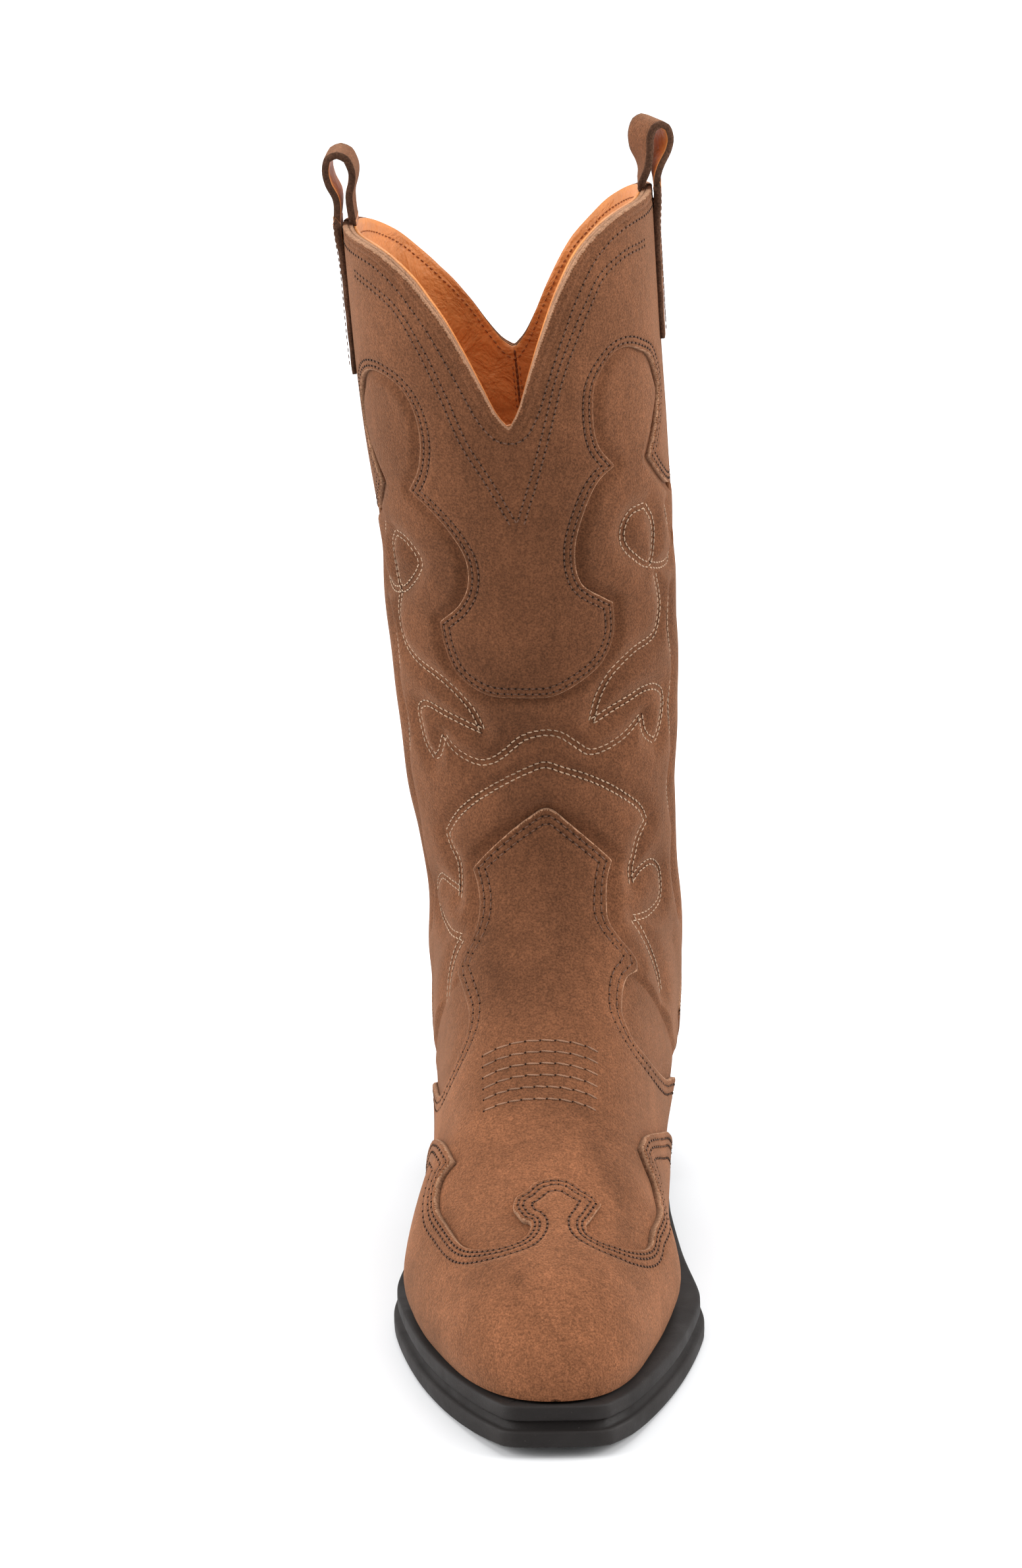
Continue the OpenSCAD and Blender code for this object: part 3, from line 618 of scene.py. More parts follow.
def grid_solid(p, n, inner, outer):
    """A closed shell over an (i, j) grid of points: vertices, faces and the rim's face flags."""
    rows, cols = p.shape[:2]
    top = (p + n * outer[..., None]).reshape(-1, 3)
    bottom = (p + n * inner[..., None]).reshape(-1, 3)
    k = rows * cols
    i, j = np.meshgrid(np.arange(rows - 1), np.arange(cols - 1), indexing="ij")
    a = (i * cols + j).ravel()
    quads = np.stack([a, a + cols, a + cols + 1, a + 1], -1)
    faces = np.vstack([quads, quads[:, ::-1] + k])
    rim = []
    for r, flip in ((0, False), (rows - 1, True)):
        q = r * cols + np.arange(cols - 1)
        rim.append(np.stack([q, q + 1, q + 1 + k, q + k], -1)[:, ::-1 if flip else 1])
    for c, flip in ((0, True), (cols - 1, False)):
        q = c + cols * np.arange(rows - 1)
        rim.append(np.stack([q, q + cols, q + cols + k, q + k], -1)[:, ::-1 if flip else 1])
    rim = np.vstack(rim)
    flags = np.concatenate([np.zeros(len(faces)), np.ones(len(rim))])
    return np.vstack([top, bottom]), np.vstack([faces, rim]), flags


def outline_solid(chart, outline, sewn, inner, outer, step, grooves=(), edge=0.62, dip=0.26):
    """A sheet with a curved outline: triangulated in the chart, rounded and sewn down.
    Its grooves run along the sewn part of the outline."""
    loop = resample(np.vstack([outline, outline[:1]]), 0.75)[:-1]
    area = np.sum(loop[:, 0] * np.roll(loop[:, 1], -1) - loop[:, 1] * np.roll(loop[:, 0], -1))
    if area < 0:
        loop = loop[::-1]
    points = [loop]
    closed = np.vstack([loop, loop[:2]])
    for d in sorted({0.3, 0.75, *(g + k for g in grooves for k in (-0.45, 0, 0.45))}):
        ring = resample(offset_line(closed, d), 0.9 if d < 1 else 1.1)
        keep = (nearest(ring, loop) > d * 0.93 - 0.02) & inside(ring, loop)
        points.append(ring[keep])
    x = np.arange(loop[:, 0].min(), loop[:, 0].max(), step)
    y = np.arange(loop[:, 1].min(), loop[:, 1].max(), step * 0.866)
    gx, gy = np.meshgrid(x, y)
    gx = gx + (np.arange(len(y)) % 2)[:, None] * step / 2
    g = np.stack([gx.ravel(), gy.ravel()], -1)
    g = g[inside(g, loop)]
    far = max([0.75, *(g + 0.45 for g in grooves)]) + 0.6 * step
    g = g[nearest(g, loop) > far]
    points.append(g)
    flat = np.vstack(points)
    ring = [(i, (i + 1) % len(loop)) for i in range(len(loop))]
    made = geometry.delaunay_2d_cdt([Vector(q) for q in flat], ring, [], 1, 1e-5, True)
    flat = np.array([tuple(q) for q in made[0]])
    tris = np.array([f for f in made[2] if len(f) == 3])
    tris = tris[inside(flat[tris].mean(1), loop)]
    p, n = chart.hit(flat)
    d = nearest(flat, resample(np.vstack([loop, loop[:1]]), 0.15))
    d_sewn = nearest(flat, resample(sewn, 0.15))
    low, high = inner(*chart.to_chart(flat)), outer(*chart.to_chart(flat))
    r = np.clip(d / 0.75, 0, 1)
    lift = edge + (1 - edge) * np.sqrt(1 - (1 - r)**2)
    for g in grooves:
        lift = lift - dip * np.exp(-((d_sewn - g) / 0.38)**2)
    top = p + n * (low + (high - low) * lift)[:, None]
    bottom = p + n * low[:, None]
    k = len(flat)
    use = {}
    for t in tris:
        for a, b in ((t[0], t[1]), (t[1], t[2]), (t[2], t[0])):
            use[(a, b)] = True
    rim = [(a, b) for a, b in use if (b, a) not in use]
    faces = [tuple(t) for t in tris] + [(t[2] + k, t[1] + k, t[0] + k) for t in tris]
    faces += [(b, a, a + k, b + k) for a, b in rim]
    raw = d_sewn[tris].max(1) < 0.5
    flags = np.concatenate([raw, np.zeros(len(tris)), np.ones(len(rim))])
    verts = np.vstack([top, bottom])
    a, b, c = verts[list(faces[0])]
    if np.dot(np.cross(b - a, c - a), n[faces[0][0]]) < 0:
        faces = [f[::-1] for f in faces]
    return verts, faces, flags


class Stitching:
    """Collects capsule stitches, and the dark capsules between them that paint the shade in the
    needle holes, into two meshes.
    """

    def __init__(self):
        self.verts, self.faces, self.hole_verts, self.hole_faces = [], [], [], []

    def capsule(self, a, b, up, radius, squash, verts, faces):
        along = b - a
        length = np.linalg.norm(along)
        along = along / (length + 1e-9)
        across = np.cross(up, along)
        across /= np.linalg.norm(across) + 1e-9
        start = len(verts)
        for u, k in ((0.0, 0.35), (0.18, 0.85), (0.5, 1.0), (0.82, 0.85), (1.0, 0.35)):
            c = a + along * length * u
            for j in range(6):
                w = j * math.pi / 3
                verts.append(c + radius * k * (across * math.cos(w)
                                               + up * squash * math.sin(w)))
        for i in range(4):
            for j in range(6):
                q, r = start + i * 6 + j, start + i * 6 + (j + 1) % 6
                faces.append((q, r, r + 6, q + 6))
        faces.append(tuple(start + j for j in range(5, -1, -1)))
        faces.append(tuple(start + 24 + j for j in range(6)))

    def row(self, chart, flat, height, pitch=2.2, radius=0.3, lift=0.1, fill=0.74, slant=0.1,
            hole=(0.46, 0.05)):
        """Stitches along a line in flat chart mm, lying on a surface at height(chart u, v)."""
        flat = resample(flat, pitch)
        if len(flat) < 3:
            return
        p, n = chart.hit(flat)
        p = p + n * (height(*chart.to_chart(flat)) + lift)[:, None]
        for a, b, up in zip(p[:-1], p[1:], n[:-1]):
            side = np.cross(up, b - a)
            side /= np.linalg.norm(side) + 1e-9
            gap = (1 - fill) / 2
            wobble = rng.normal(0, 0.05, 2)
            s = a + (b - a) * gap + side * (slant + wobble[0])
            e = b - (b - a) * gap - side * (slant + wobble[1])
            self.capsule(s, e, up, radius, 0.75, self.verts, self.faces)
            # Painted shade: a dark capsule sunk at each gap between stitches stands in for the
            # shadow inside the needle hole.
            if hole:
                h = a - up * (lift - hole[1])
                o = (b - a) / np.linalg.norm(b - a) * hole[0] * 0.55
                self.capsule(h - o, h + o, up, hole[0], 0.45, self.hole_verts,
                             self.hole_faces)

    def build(self, name, material, slot, hole_shade_name=None):
        piece(name, self.verts, self.faces, [material])
        if hole_shade_name and self.hole_verts:
            piece(hole_shade_name, self.hole_verts, self.hole_faces, [M_HOLE_SHADE])


def runs_inside(chart_line, loop, d):
    """The stretches of a line moved inward by d that stay d away from the loop."""
    ring = offset_line(chart_line, d)
    keep = nearest(ring, loop) > d * 0.96 - 0.03
    out, run = [], []
    for q, ok in zip(ring, keep):
        if ok:
            run.append(q)
        elif run:
            out.append(np.array(run))
            run = []
    if run:
        out.append(np.array(run))
    return [r for r in out if len(r) > 8]


# ---------------------------------------------------------------- outlines in flat mm
def constant(value):
    return lambda u, v: np.full(np.shape(u), float(value))


def collar_outline(back_panel=False):
    """Closed outline of a collar: lower edge from left to right, then the top edge back."""
    left, right = (joined(COLLAR_EDGE[s]) for s in (-1, 1))
    low = np.vstack([left[:-1], right])
    t = np.linspace(88, -88, 260)
    top = np.stack([t, top_z(t + 180 if back_panel else t) + 0.3], -1)
    if back_panel:
        low = np.stack([low[::-1, 0] * -1, low[::-1, 1]], -1)
    outline = np.vstack([low, top])
    outline[:, 0] = outline[:, 0] + (180 if back_panel else 0)
    return shaft_flat(outline), len(low)


front_collar, front_low = collar_outline()
back_collar, back_low = collar_outline(True)
quilt_front = [shaft_flat(spline(q)) for q in QUILT]
quilt_back = [shaft_flat(np.stack([180 + spline(q)[:, 0], spline(q)[:, 1]], -1)) for q in QUILT]
vamp_line = foot_flat(joined(VAMP_EDGE))
wing_line = foot_flat(joined(WING_EDGE))


def toe_side(line, first):
    """The two long edges of a foot panel, down to the toe, that close its outline."""
    s0 = foot_chart(line[:1] if first else line[-1:])[0][0]
    w = np.linspace(0, 1, 160)
    s = TOE_END + 0.01 + (s0 - TOE_END - 0.01) * (w**1.6)
    side = np.stack([s, np.full(160, -90.0 if first else 90.0)], -1)
    side = foot_flat(side)
    return side[:-1] if first else side[::-1][1:]


def foot_outline(line):
    return np.vstack([line, toe_side(line, False), toe_side(line, True)])


COUNTER_POINTS = 300


def counter_line(t):
    """Height of the heel counter's upper edge at t degrees."""
    a = np.abs(180 - t)
    return np.where(a < 40, 118 - 0.014 * a * a, 95.6 - 0.42 * (a - 40))


def counter_outline():
    t = np.linspace(64, 296, COUNTER_POINTS)
    low = np.maximum(low_z(t) + 0.2, 40)
    up = np.maximum(counter_line(t) + 2.2 * np.cos(np.radians(3 * (t - 180))), low + 4)
    return shaft_flat(np.vstack([np.stack([t, low], -1), np.stack([t, up], -1)[::-1]]))


counter = counter_outline()


# ---------------------------------------------------------------- panels of the shaft
vamp_front = FOOT.hit(resample(vamp_line, 0.8))[0][:, [0, 2]]
PUFF = 2.1


def shaft_skin(name, start, lines, collar, replaced):
    """A shaft panel with quilted relief that is pressed down along the stitch lines."""
    cols, rows = 190, 250
    t = np.linspace(start + 0.2, start + 179.8, cols)
    low, high = low_z(t), top_z(t)
    w = np.linspace(0, 1, rows)[None, :]
    z = low[:, None] + (high - low)[:, None] * w**1.1
    tt = np.repeat(t[:, None], rows, 1)
    p, n = shaft_hit(tt.ravel(), z.ravel())
    flat = shaft_flat(np.stack([tt.ravel(), z.ravel()], -1))
    covered = inside(flat, collar)
    d = nearest(flat, np.vstack([resample(q, 0.6) for q in lines]))
    edge = nearest(flat, resample(collar, 0.6))
    puff = PUFF * (1 - np.exp(-(d / 3.9)**2)) * (1 - 0.3 * ramp(d, 9, 22))
    puff = puff - 0.16 * np.exp(-(d / 0.9)**2)
    open_area = np.where(covered, 0, ramp(edge, 0.6, 4.5))
    seam = ramp(np.minimum(tt.ravel() - start, start + 180 - tt.ravel()), 1.4, 4)
    foot_edge = ramp(z - low[:, None], 0.5, 5).ravel()
    across = p[:, [0, 2]]
    under_vamp = inside(across, vamp_front) & (p[:, 1] < SPINE_Y)
    vamp_near = nearest(across, vamp_front) + 100 * (p[:, 1] > SPINE_Y)
    round_flat = shaft_flat(np.stack([tt.ravel() % 360, z.ravel()], -1))
    under_counter = inside(round_flat, counter)
    counter_near = nearest(round_flat, resample(counter, 0.8))
    free = np.where(under_vamp, 0, ramp(vamp_near, 0.8, 5))
    free = free * np.where(under_counter, 0, ramp(counter_near, 0.8, 5))
    relief = puff * open_area * seam * foot_edge * free
    relief = relief + 0.12 * np.sin(p[:, 2] * 0.21 + p[:, 0] * 0.11) * open_area * seam * free
    relief = relief.reshape(cols, rows)
    p, n = p.reshape(cols, rows, 3), n.reshape(cols, rows, 3)
    v, f, flags = grid_solid(p, n, np.full((cols, rows), -BASE_T), relief)
    return piece(name, v, f, [M_SHAFT, M_RAW], replaced,
                 face_material=flags)


shaft_skin("shaft_front_skin", -90, quilt_front, front_collar, ["shaft_front"])
shaft_skin("shaft_back_skin", 90, quilt_back, back_collar, ["shaft_back"])


def apron():
    """The shaft leather that runs on under the sides of the vamp's tongue."""
    s = np.linspace(-24, 13, 40)
    t = np.linspace(-89, 89, 150)
    ss, tt = np.meshgrid(s, t, indexing="ij")
    p, n = foot_hit(ss.ravel(), tt.ravel())
    d = nearest(foot_flat(np.stack([ss.ravel(), tt.ravel()], -1)), vamp_line)
    lift = 0.25 + 0.55 * ramp(d, 1.5, 6) * ramp(ss.ravel(), -22, -14)
    p, n = p.reshape(*ss.shape, 3), n.reshape(*ss.shape, 3)
    lift = (lift * ramp(13 - ss.ravel(), 0, 6)).reshape(ss.shape) - 0.05
    v, f, flags = grid_solid(p[::-1], n[::-1], np.full(ss.shape, -0.9), lift[::-1])
    return piece("shaft_apron", v, f, [M_SHAFT, M_RAW], face_material=flags)


apron()


def collar_piece(name, outline, replaced):
    v, f, flags = outline_solid(SHAFT, outline, outline, constant(OVER_IN - 0.4),
                                constant(OVER_OUT), 2.0, (1.4, 3.3))
    piece(name, v, f, [M_OVER, M_RAW], replaced, face_material=flags)


collar_piece("collar_front_skin", front_collar, ["collar_front"])
collar_piece("collar_back_skin", back_collar, ["collar_back"])


def vamp_inner(s, t):
    return -0.2 + 0.55 * ramp(s, -34, -22)


def vamp_outer(s, t):
    return OVER_OUT + 0.3 * ramp(s, -20, VAMP_END)


def vamp_skin():
    v, f, flags = outline_solid(FOOT, foot_outline(vamp_line), vamp_line, vamp_inner,
                                vamp_outer, 2.0, (1.4, 3.1))
    piece("vamp_skin", v, f, [M_FOOT, M_RAW], ["vamp"], face_material=flags)


vamp_skin()


def wing_skin():
    v, f, flags = outline_solid(FOOT, foot_outline(wing_line), wing_line,
                                constant(OVER_OUT + 0.1), constant(WING_OUT), 1.9, (1.4, 3.0, 5.6))
    piece("wing_tip_skin", v, f, [M_FOOT, M_RAW], ["wing_tip"],
          face_material=flags)


wing_skin()


def counter_skin():
    v, f, flags = outline_solid(SHAFT, counter, counter[COUNTER_POINTS:], constant(OVER_IN - 0.4),
                                constant(OVER_OUT), 2.2, (1.4, 3.2))
    piece("heel_counter_skin", v, f, [M_FOOT, M_RAW], ["heel_counter"],
          face_material=flags)


counter_skin()


def side_welt(side):
    """A folded suede strip that covers the side seam, crowned across its width."""
    middle = 90 * side
    t = middle + np.linspace(-1.9, 1.9, 7)
    z = np.linspace(84, float(top_z(middle)) - 1, 260)
    tt, zz = np.meshgrid(t, z, indexing="ij")
    p, n = shaft_hit(tt.ravel(), zz.ravel())
    p, n = p.reshape(*tt.shape, 3), n.reshape(*tt.shape, 3)
    crown = OVER_IN + 0.15 + OVERLAY_T * np.sqrt(1 - (np.abs(tt - middle) / 2.1)**2)
    crown = 0.3 + (crown - 0.3 + 0.1 * np.sin(zz * 0.6)) * ramp(zz, 84, 108)
    v, f, _ = grid_solid(p, n, np.full(tt.shape, 0.1), crown - 0.3)
    piece(f"side_welt_{SIDE_NAME[side]}_skin", v, f, [M_OVER, M_RAW],
          [f"side_welt_{SIDE_NAME[side]}"])


side_welt(-1)
side_welt(1)

# ---------------------------------------------------------------- stitching
STITCH_PITCH, THREAD_R = 2.15, 0.27
cream, tone = Stitching(), Stitching()
for lines, collar in ((quilt_front, front_collar), (quilt_back, back_collar)):
    for line in lines:
        for d in (-0.95, 0.95):
            run = offset_line(resample(line, 0.5), d)
            run = run[~inside(run, collar)]
            cream.row(SHAFT, run, constant(0.0), STITCH_PITCH, THREAD_R, 0.16, 0.72, 0.1,
                      (0.3, 0.02))


def tone_row(chart, flat, height, lift=-0.05):
    """One row of tone-on-tone seam stitching."""
    tone.row(chart, flat, height, STITCH_PITCH, THREAD_R, lift, 0.62, 0.05)


def sewn_edge(chart, line, loop, distances, height):
    for d in distances:
        for run in runs_inside(resample(line, 0.5), loop, d):
            tone_row(chart, run, height)


for outline, count in ((front_collar, front_low), (back_collar, back_low)):
    sewn_edge(SHAFT, outline[:count], resample(outline, 0.4), (1.4, 3.3), constant(OVER_OUT - 0.2))
    sewn_edge(SHAFT, outline[count + 3:-3], resample(outline, 0.4), (5.2,), constant(OVER_OUT))
vamp_loop = resample(foot_outline(vamp_line), 0.4)
wing_loop = resample(foot_outline(wing_line), 0.4)


def sewn_foot(line, loop, distances, height):
    for d in distances:
        ring = offset_line(resample(line, 0.5), -d)
        ok = nearest(ring, loop) > abs(d) * 0.96 - 0.03
        inner_side = inside(ring, loop)
        run = []
        for q, good in zip(ring, ok & inner_side):
            if good:
                run.append(q)
            elif len(run) > 8:
                tone_row(FOOT, np.array(run), height)
                run = []
        if len(run) > 8:
            tone_row(FOOT, np.array(run), height)


sewn_foot(vamp_line, vamp_loop, (1.4, 3.1), lambda s, t: vamp_outer(s, t) - 0.2)
sewn_foot(wing_line, wing_loop, (1.4, 3.0, 5.6), constant(WING_OUT - 0.2))
counter_top = resample(counter[COUNTER_POINTS:][::-1], 0.5)
for d in (1.4, 3.2):
    tone_row(SHAFT, offset_line(counter_top, -d), constant(OVER_OUT - 0.2))
for turn in (0, 180):
    for side in (-1, 1):
        v_row = spline(V_ROW[side])
        below = top_z(v_row[:, 0]) - v_row[:, 1]
        height = top_z(v_row[:, 0] + turn) - below if turn else v_row[:, 1]
        v_row = shaft_flat(np.stack([v_row[:, 0] + turn, height], -1))
        for d in (0.0, 2.0):
            tone_row(SHAFT, offset_line(v_row, d * side), constant(OVER_OUT), -0.02)

# Rows of flex stitching across the instep
flex = Stitching()
for k in range(6):
    s0 = -21.3 - 3.95 * k
    t = np.linspace(-17.8, 15.2 + 0.4 * k, 40)
    row = foot_flat(np.stack([s0 + 0.9 * np.cos(t / 12) - 0.9, t], -1))
    flex.row(FOOT, row, vamp_outer, 3.0, 0.38, 0.16, 0.84, 0.16, (0.46, 0.06))

cream.build("quilt_stitching", M_CREAM, "suede_tan", "quilt_needle_hole_shades")
flex.build("flex_stitching", M_FLEX, "suede_tan", "flex_needle_hole_shades")
tone.build("seam_stitching", M_TONE, "suede_tan", "needle_hole_shades")


# ---------------------------------------------------------------- lining
def lining_out(z):
    """Outer face of the shaft lining, which makes room for the stiffener at the heel."""
    return HEEL_LINING_OUT + (LINING_OUT - HEEL_LINING_OUT) * ramp(z, 118, 155)


def lining_face(t, z):
    return lining_out(z) - LINING_T


def lining_skin(name, start, replaced):
    """Half of the shaft lining, softly wrinkled."""
    cols, rows = 110, 170
    t = np.linspace(start + 0.3, start + 179.7, cols)
    low, high = low_z(t), top_z(t) - 0.3
    z = low[:, None] + (high - low)[:, None] * np.linspace(0, 1, rows)[None, :]**1.2
    tt = np.repeat(t[:, None], rows, 1)
    p, n = shaft_hit(tt.ravel(), z.ravel())
    out = lining_out(p[:, 2])
    depth = ramp((high[:, None] - z).ravel(), 1.5, 14)
    depth = depth * ramp(np.abs(tt.ravel() - 180), 1.2, 7)
    folds = (0.5 * np.sin(0.16 * p[:, 2] + 0.05 * tt.ravel()) * np.sin(0.11 * tt.ravel())
             + 0.25 * np.sin(0.37 * p[:, 2] - 0.19 * tt.ravel()))
    inner = out - LINING_T - (0.45 + 0.8 * folds) * depth * 0.8
    shape = (cols, rows)
    v, f, _ = grid_solid(p.reshape(*shape, 3), n.reshape(*shape, 3),
                         inner.reshape(shape), out.reshape(shape))
    piece(name, v, f, [M_COGNAC], replaced)


lining_skin("shaft_lining_front_skin", -90, ["shaft_lining_front"])
lining_skin("shaft_lining_back_skin", 90, ["shaft_lining_back"])


def vamp_lining_skin():
    """Lining of the foot, inside the vamp."""
    w = np.linspace(0, 1, 70)
    s = TOE_END + 0.02 + (VAMP_END - TOE_END - 0.02) * w**1.6
    t = np.linspace(-90, 90, 90)
    ss, tt = np.meshgrid(s, t, indexing="ij")
    p, n = foot_hit(ss.ravel(), tt.ravel())
    out = -2.1 + (HEEL_LINING_OUT + 2.1) * ramp(ss.ravel(), -35, 4)
    inner = out - LINING_T - 0.3 * (1 + np.sin(0.2 * ss.ravel() + 0.07 * tt.ravel()))
    shape = ss.shape
    v, f, _ = grid_solid(p.reshape(*shape, 3)[::-1], n.reshape(*shape, 3)[::-1],
                         inner.reshape(shape)[::-1], out.reshape(shape)[::-1])
    piece("vamp_lining_skin", v, f, [M_COGNAC], ["vamp_lining"])


vamp_lining_skin()

lining_rows = Stitching()
for start in (-90, 90):
    t = np.linspace(start + 1, start + 179, 400)
    edge_row = shaft_flat(np.stack([t, top_z(t) - 4.6], -1))
    lining_rows.row(SHAFT, edge_row, constant(LINING_OUT - LINING_T), 2.2, 0.26, -0.28, 0.62,
                    0.04)
for d in (-1.3, 1.3):
    z = np.linspace(80, float(top_z(180)) - 6, 300)
    seam = shaft_flat(np.stack([np.full(300, 180 + d), z], -1))
    lining_rows.row(SHAFT, seam, lining_face, 2.2, 0.26, -0.1, 0.62, 0.04)
seam_line = Stitching()
z = np.linspace(80, float(top_z(180)) - 1, 200)
seam = shaft_flat(np.stack([np.full(200, 180.0), z], -1))
seam_line.row(SHAFT, seam, lining_face, 2.0, 0.42, -0.05, 1.1, 0.0, None)
piece("lining_back_seam", seam_line.verts, seam_line.faces, [M_SEAM])
piece("lining_stitching", lining_rows.verts, lining_rows.faces,
      [thread_material("thread_cognac", (0.42, 0.15, 0.045))])


# ---------------------------------------------------------------- pull straps
STRAP_W, STRAP_T, LOOP_H = 16, 2.5, 24
LEG_OUTER, LEG_INNER = 50, 26
STRAP_COLS, OUTER_ROWS, INNER_ROWS = 17, 44, 24
STRAP_OUT_IN = OVER_OUT + LAYER_GAP
STRAP_TUCK = LINING_OUT - 0.1
WALL_MID = (OVER_OUT + LINING_OUT - LINING_T) / 2
LEG_APART = (STRAP_OUT_IN + STRAP_T / 2 - STRAP_TUCK) / 2
LEG_MIDDLE = (STRAP_OUT_IN + STRAP_T / 2 + STRAP_TUCK) / 2 - WALL_MID
LOOP_TWIST = {-1: -3.0, 1: 25.0}
LOOP_LEAN = {-1: 1.6, 1: 1.2}
LOOP_HALF = {-1: 4.3, 1: 3.7}
LOOP_TOP = {-1: 24.4, 1: 22.4}


def strap(side):
    """One ribbon from the outer leg, over the loop, to the inner leg."""
    hz = SIDE_TOP_Z + side * TOP_TILT
    hx = float(lean(hz)) + side * (float(wide(hz)) + WALL_MID)
    hy = float(front(hz) + back(hz)) / 2
    x = LEG_APART
    top = LOOP_TOP[side]
    wide_u = LOOP_HALF[side]
    half_loop = [(x, 0.5), (x - 0.7, top * 0.2), (x - 0.6, top * 0.36), (wide_u - 0.5, top * 0.58),
                 (wide_u, top * 0.74), (wide_u - 1.4, top * 0.9), (0, top - STRAP_T / 2)]
    arc = spline(half_loop, 0.8)
    arc = np.vstack([arc, np.stack([-arc[-2::-1, 0], arc[-2::-1, 1]], -1)])
    across = np.linspace(-1, 1, STRAP_COLS)
    rows = []
    middle = 90 if side > 0 else 270
    out_t = STRAP_OUT_IN + STRAP_T / 2

    def leg(depths, off, flush):
        for depth in depths:
            close = float(ramp(depth, 0, 16))
            turn = np.degrees(np.arcsin(across * STRAP_W / 2 / 50))
            p, n = shaft_hit(middle + side * turn, np.full(STRAP_COLS, hz - depth))
            rows.append(p + n * (off + (flush - off) * close))

    leg(np.linspace(LEG_OUTER, -2, OUTER_ROWS), out_t, OVER_OUT + 0.75)
    for u, w in arc:
        twist = math.radians(LOOP_TWIST[side]) * float(ramp(w, 1, LOOP_H * 0.6))
        flare = 1 - 0.05 * float(ramp(w, 2, 14))
        u = u + LEG_MIDDLE + LOOP_LEAN[side] * float(ramp(w, 2, top))
        y = across * STRAP_W / 2 * flare
        px = hx + side * u * math.cos(twist) - y * math.sin(twist)
        py = hy + side * u * math.sin(twist) + y * math.cos(twist)
        rows.append(np.stack([px, py, np.full(STRAP_COLS, hz + w)], -1))
    leg(np.linspace(-2, LEG_INNER, INNER_ROWS), STRAP_TUCK, STRAP_TUCK)
    line = np.array(rows)
    du = np.gradient(line, axis=0)
    dv = np.gradient(line, axis=1)
    n = np.cross(du, dv)
    n /= np.linalg.norm(n, axis=2, keepdims=True)
    if np.dot(n[10, 8], [side, 0, 0]) < 0:
        n = -n
    thin = np.full(len(line), 1.0)
    thin[:OUTER_ROWS] = np.linspace(0.62, 1, OUTER_ROWS)
    thin[-INNER_ROWS:] = 0.42
    thin[-INNER_ROWS:2 - INNER_ROWS] = 0.7
    crown = thin[:, None] * STRAP_T / 2 * (1 - 0.12 * np.abs(across)**8)
    wave = 0.12 * np.sin(np.arange(len(line)) * 0.7)[:, None] * across[None, :]**2
    outer = crown + wave
    v, f, _ = grid_solid(line, n, -outer + 2 * wave, outer)
    cells = STRAP_COLS - 1
    quads = (len(line) - 1) * cells
    mat = np.zeros(len(f), int)
    mat[quads:2 * quads] = 1
    mat[2 * quads:] = 2
    edge_cells = np.tile(np.arange(cells), len(line) - 1)
    border = (edge_cells == 0) | (edge_cells == cells - 1)
    mat[:quads][border] = 2
    name = SIDE_NAME[side]
    obj = piece(f"pull_strap_{name}", v, f, [M_STRAP, M_COGNAC, M_DARK],
                [f"strap_outer_{name}", f"strap_inner_{name}", f"pull_loop_{name}"],
                body=None, face_material=mat)
    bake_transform(obj)
    stitches = Stitching()
    for col in (2, STRAP_COLS - 3):
        pts = line[2:OUTER_ROWS, col] + n[2:OUTER_ROWS, col] * (STRAP_T / 2 + 0.02)
        pts = resample(pts, 2.2)
        for a, b in zip(pts[:-1], pts[1:]):
            up = np.array([side, 0, 0.0])
            stitches.capsule(a + (b - a) * 0.16, b - (b - a) * 0.16, up, THREAD_R, 0.7,
                             stitches.verts, stitches.faces)
    piece(f"strap_stitching_{name}", stitches.verts, stitches.faces, [M_TONE])


strap(-1)
strap(1)

# ---------------------------------------------------------------- sole
LATERAL = [(1.5, 143.5), (-17, 140), (-31, 127), (-37.6, 103), (-38.4, 70), (-39.4, 38),
           (-42, 8), (-47.2, -20), (-51.6, -43), (-49.8, -59), (-42.6, -87), (-33.8, -109),
           (-22.5, -130), (-15, -141)]
TOE_EDGE = [(-15, -141), (-11, -143), (3, -143.5), (16, -143), (20, -141)]
MEDIAL = [(20, -141), (26, -132), (34.8, -112), (42.5, -90), (48.6, -64), (49.8, -52),
          (44, -22), (39.6, 8), (39, 38), (39.2, 70), (39, 103), (33.5, 127), (20, 140),
          (1.5, 143.5)]
WELT_T, EDGE_T, HEEL_SEAT_Z, TOP_PIECE_T, TOE_SPRING = 5, 13.8, 33, 7, 3.8
GROOVE_T = 3.2


def tread(y):
    y = np.asarray(y, float)
    spring = TOE_SPRING * np.maximum((-100 - y) / 43.5, 0)**2
    arch = np.minimum(HEEL_SEAT_Z, np.maximum(0, seat(y) - EDGE_T))
    return np.where(y < -52, spring, arch)


def sole_outline():
    line = np.vstack([spline(LATERAL, 1.5)[:-1], spline(TOE_EDGE, 1.0)[:-1],
                      spline(MEDIAL, 1.5)[:-1]])
    return resample(np.vstack([line, line[:1]]), 1.6)[:-1]


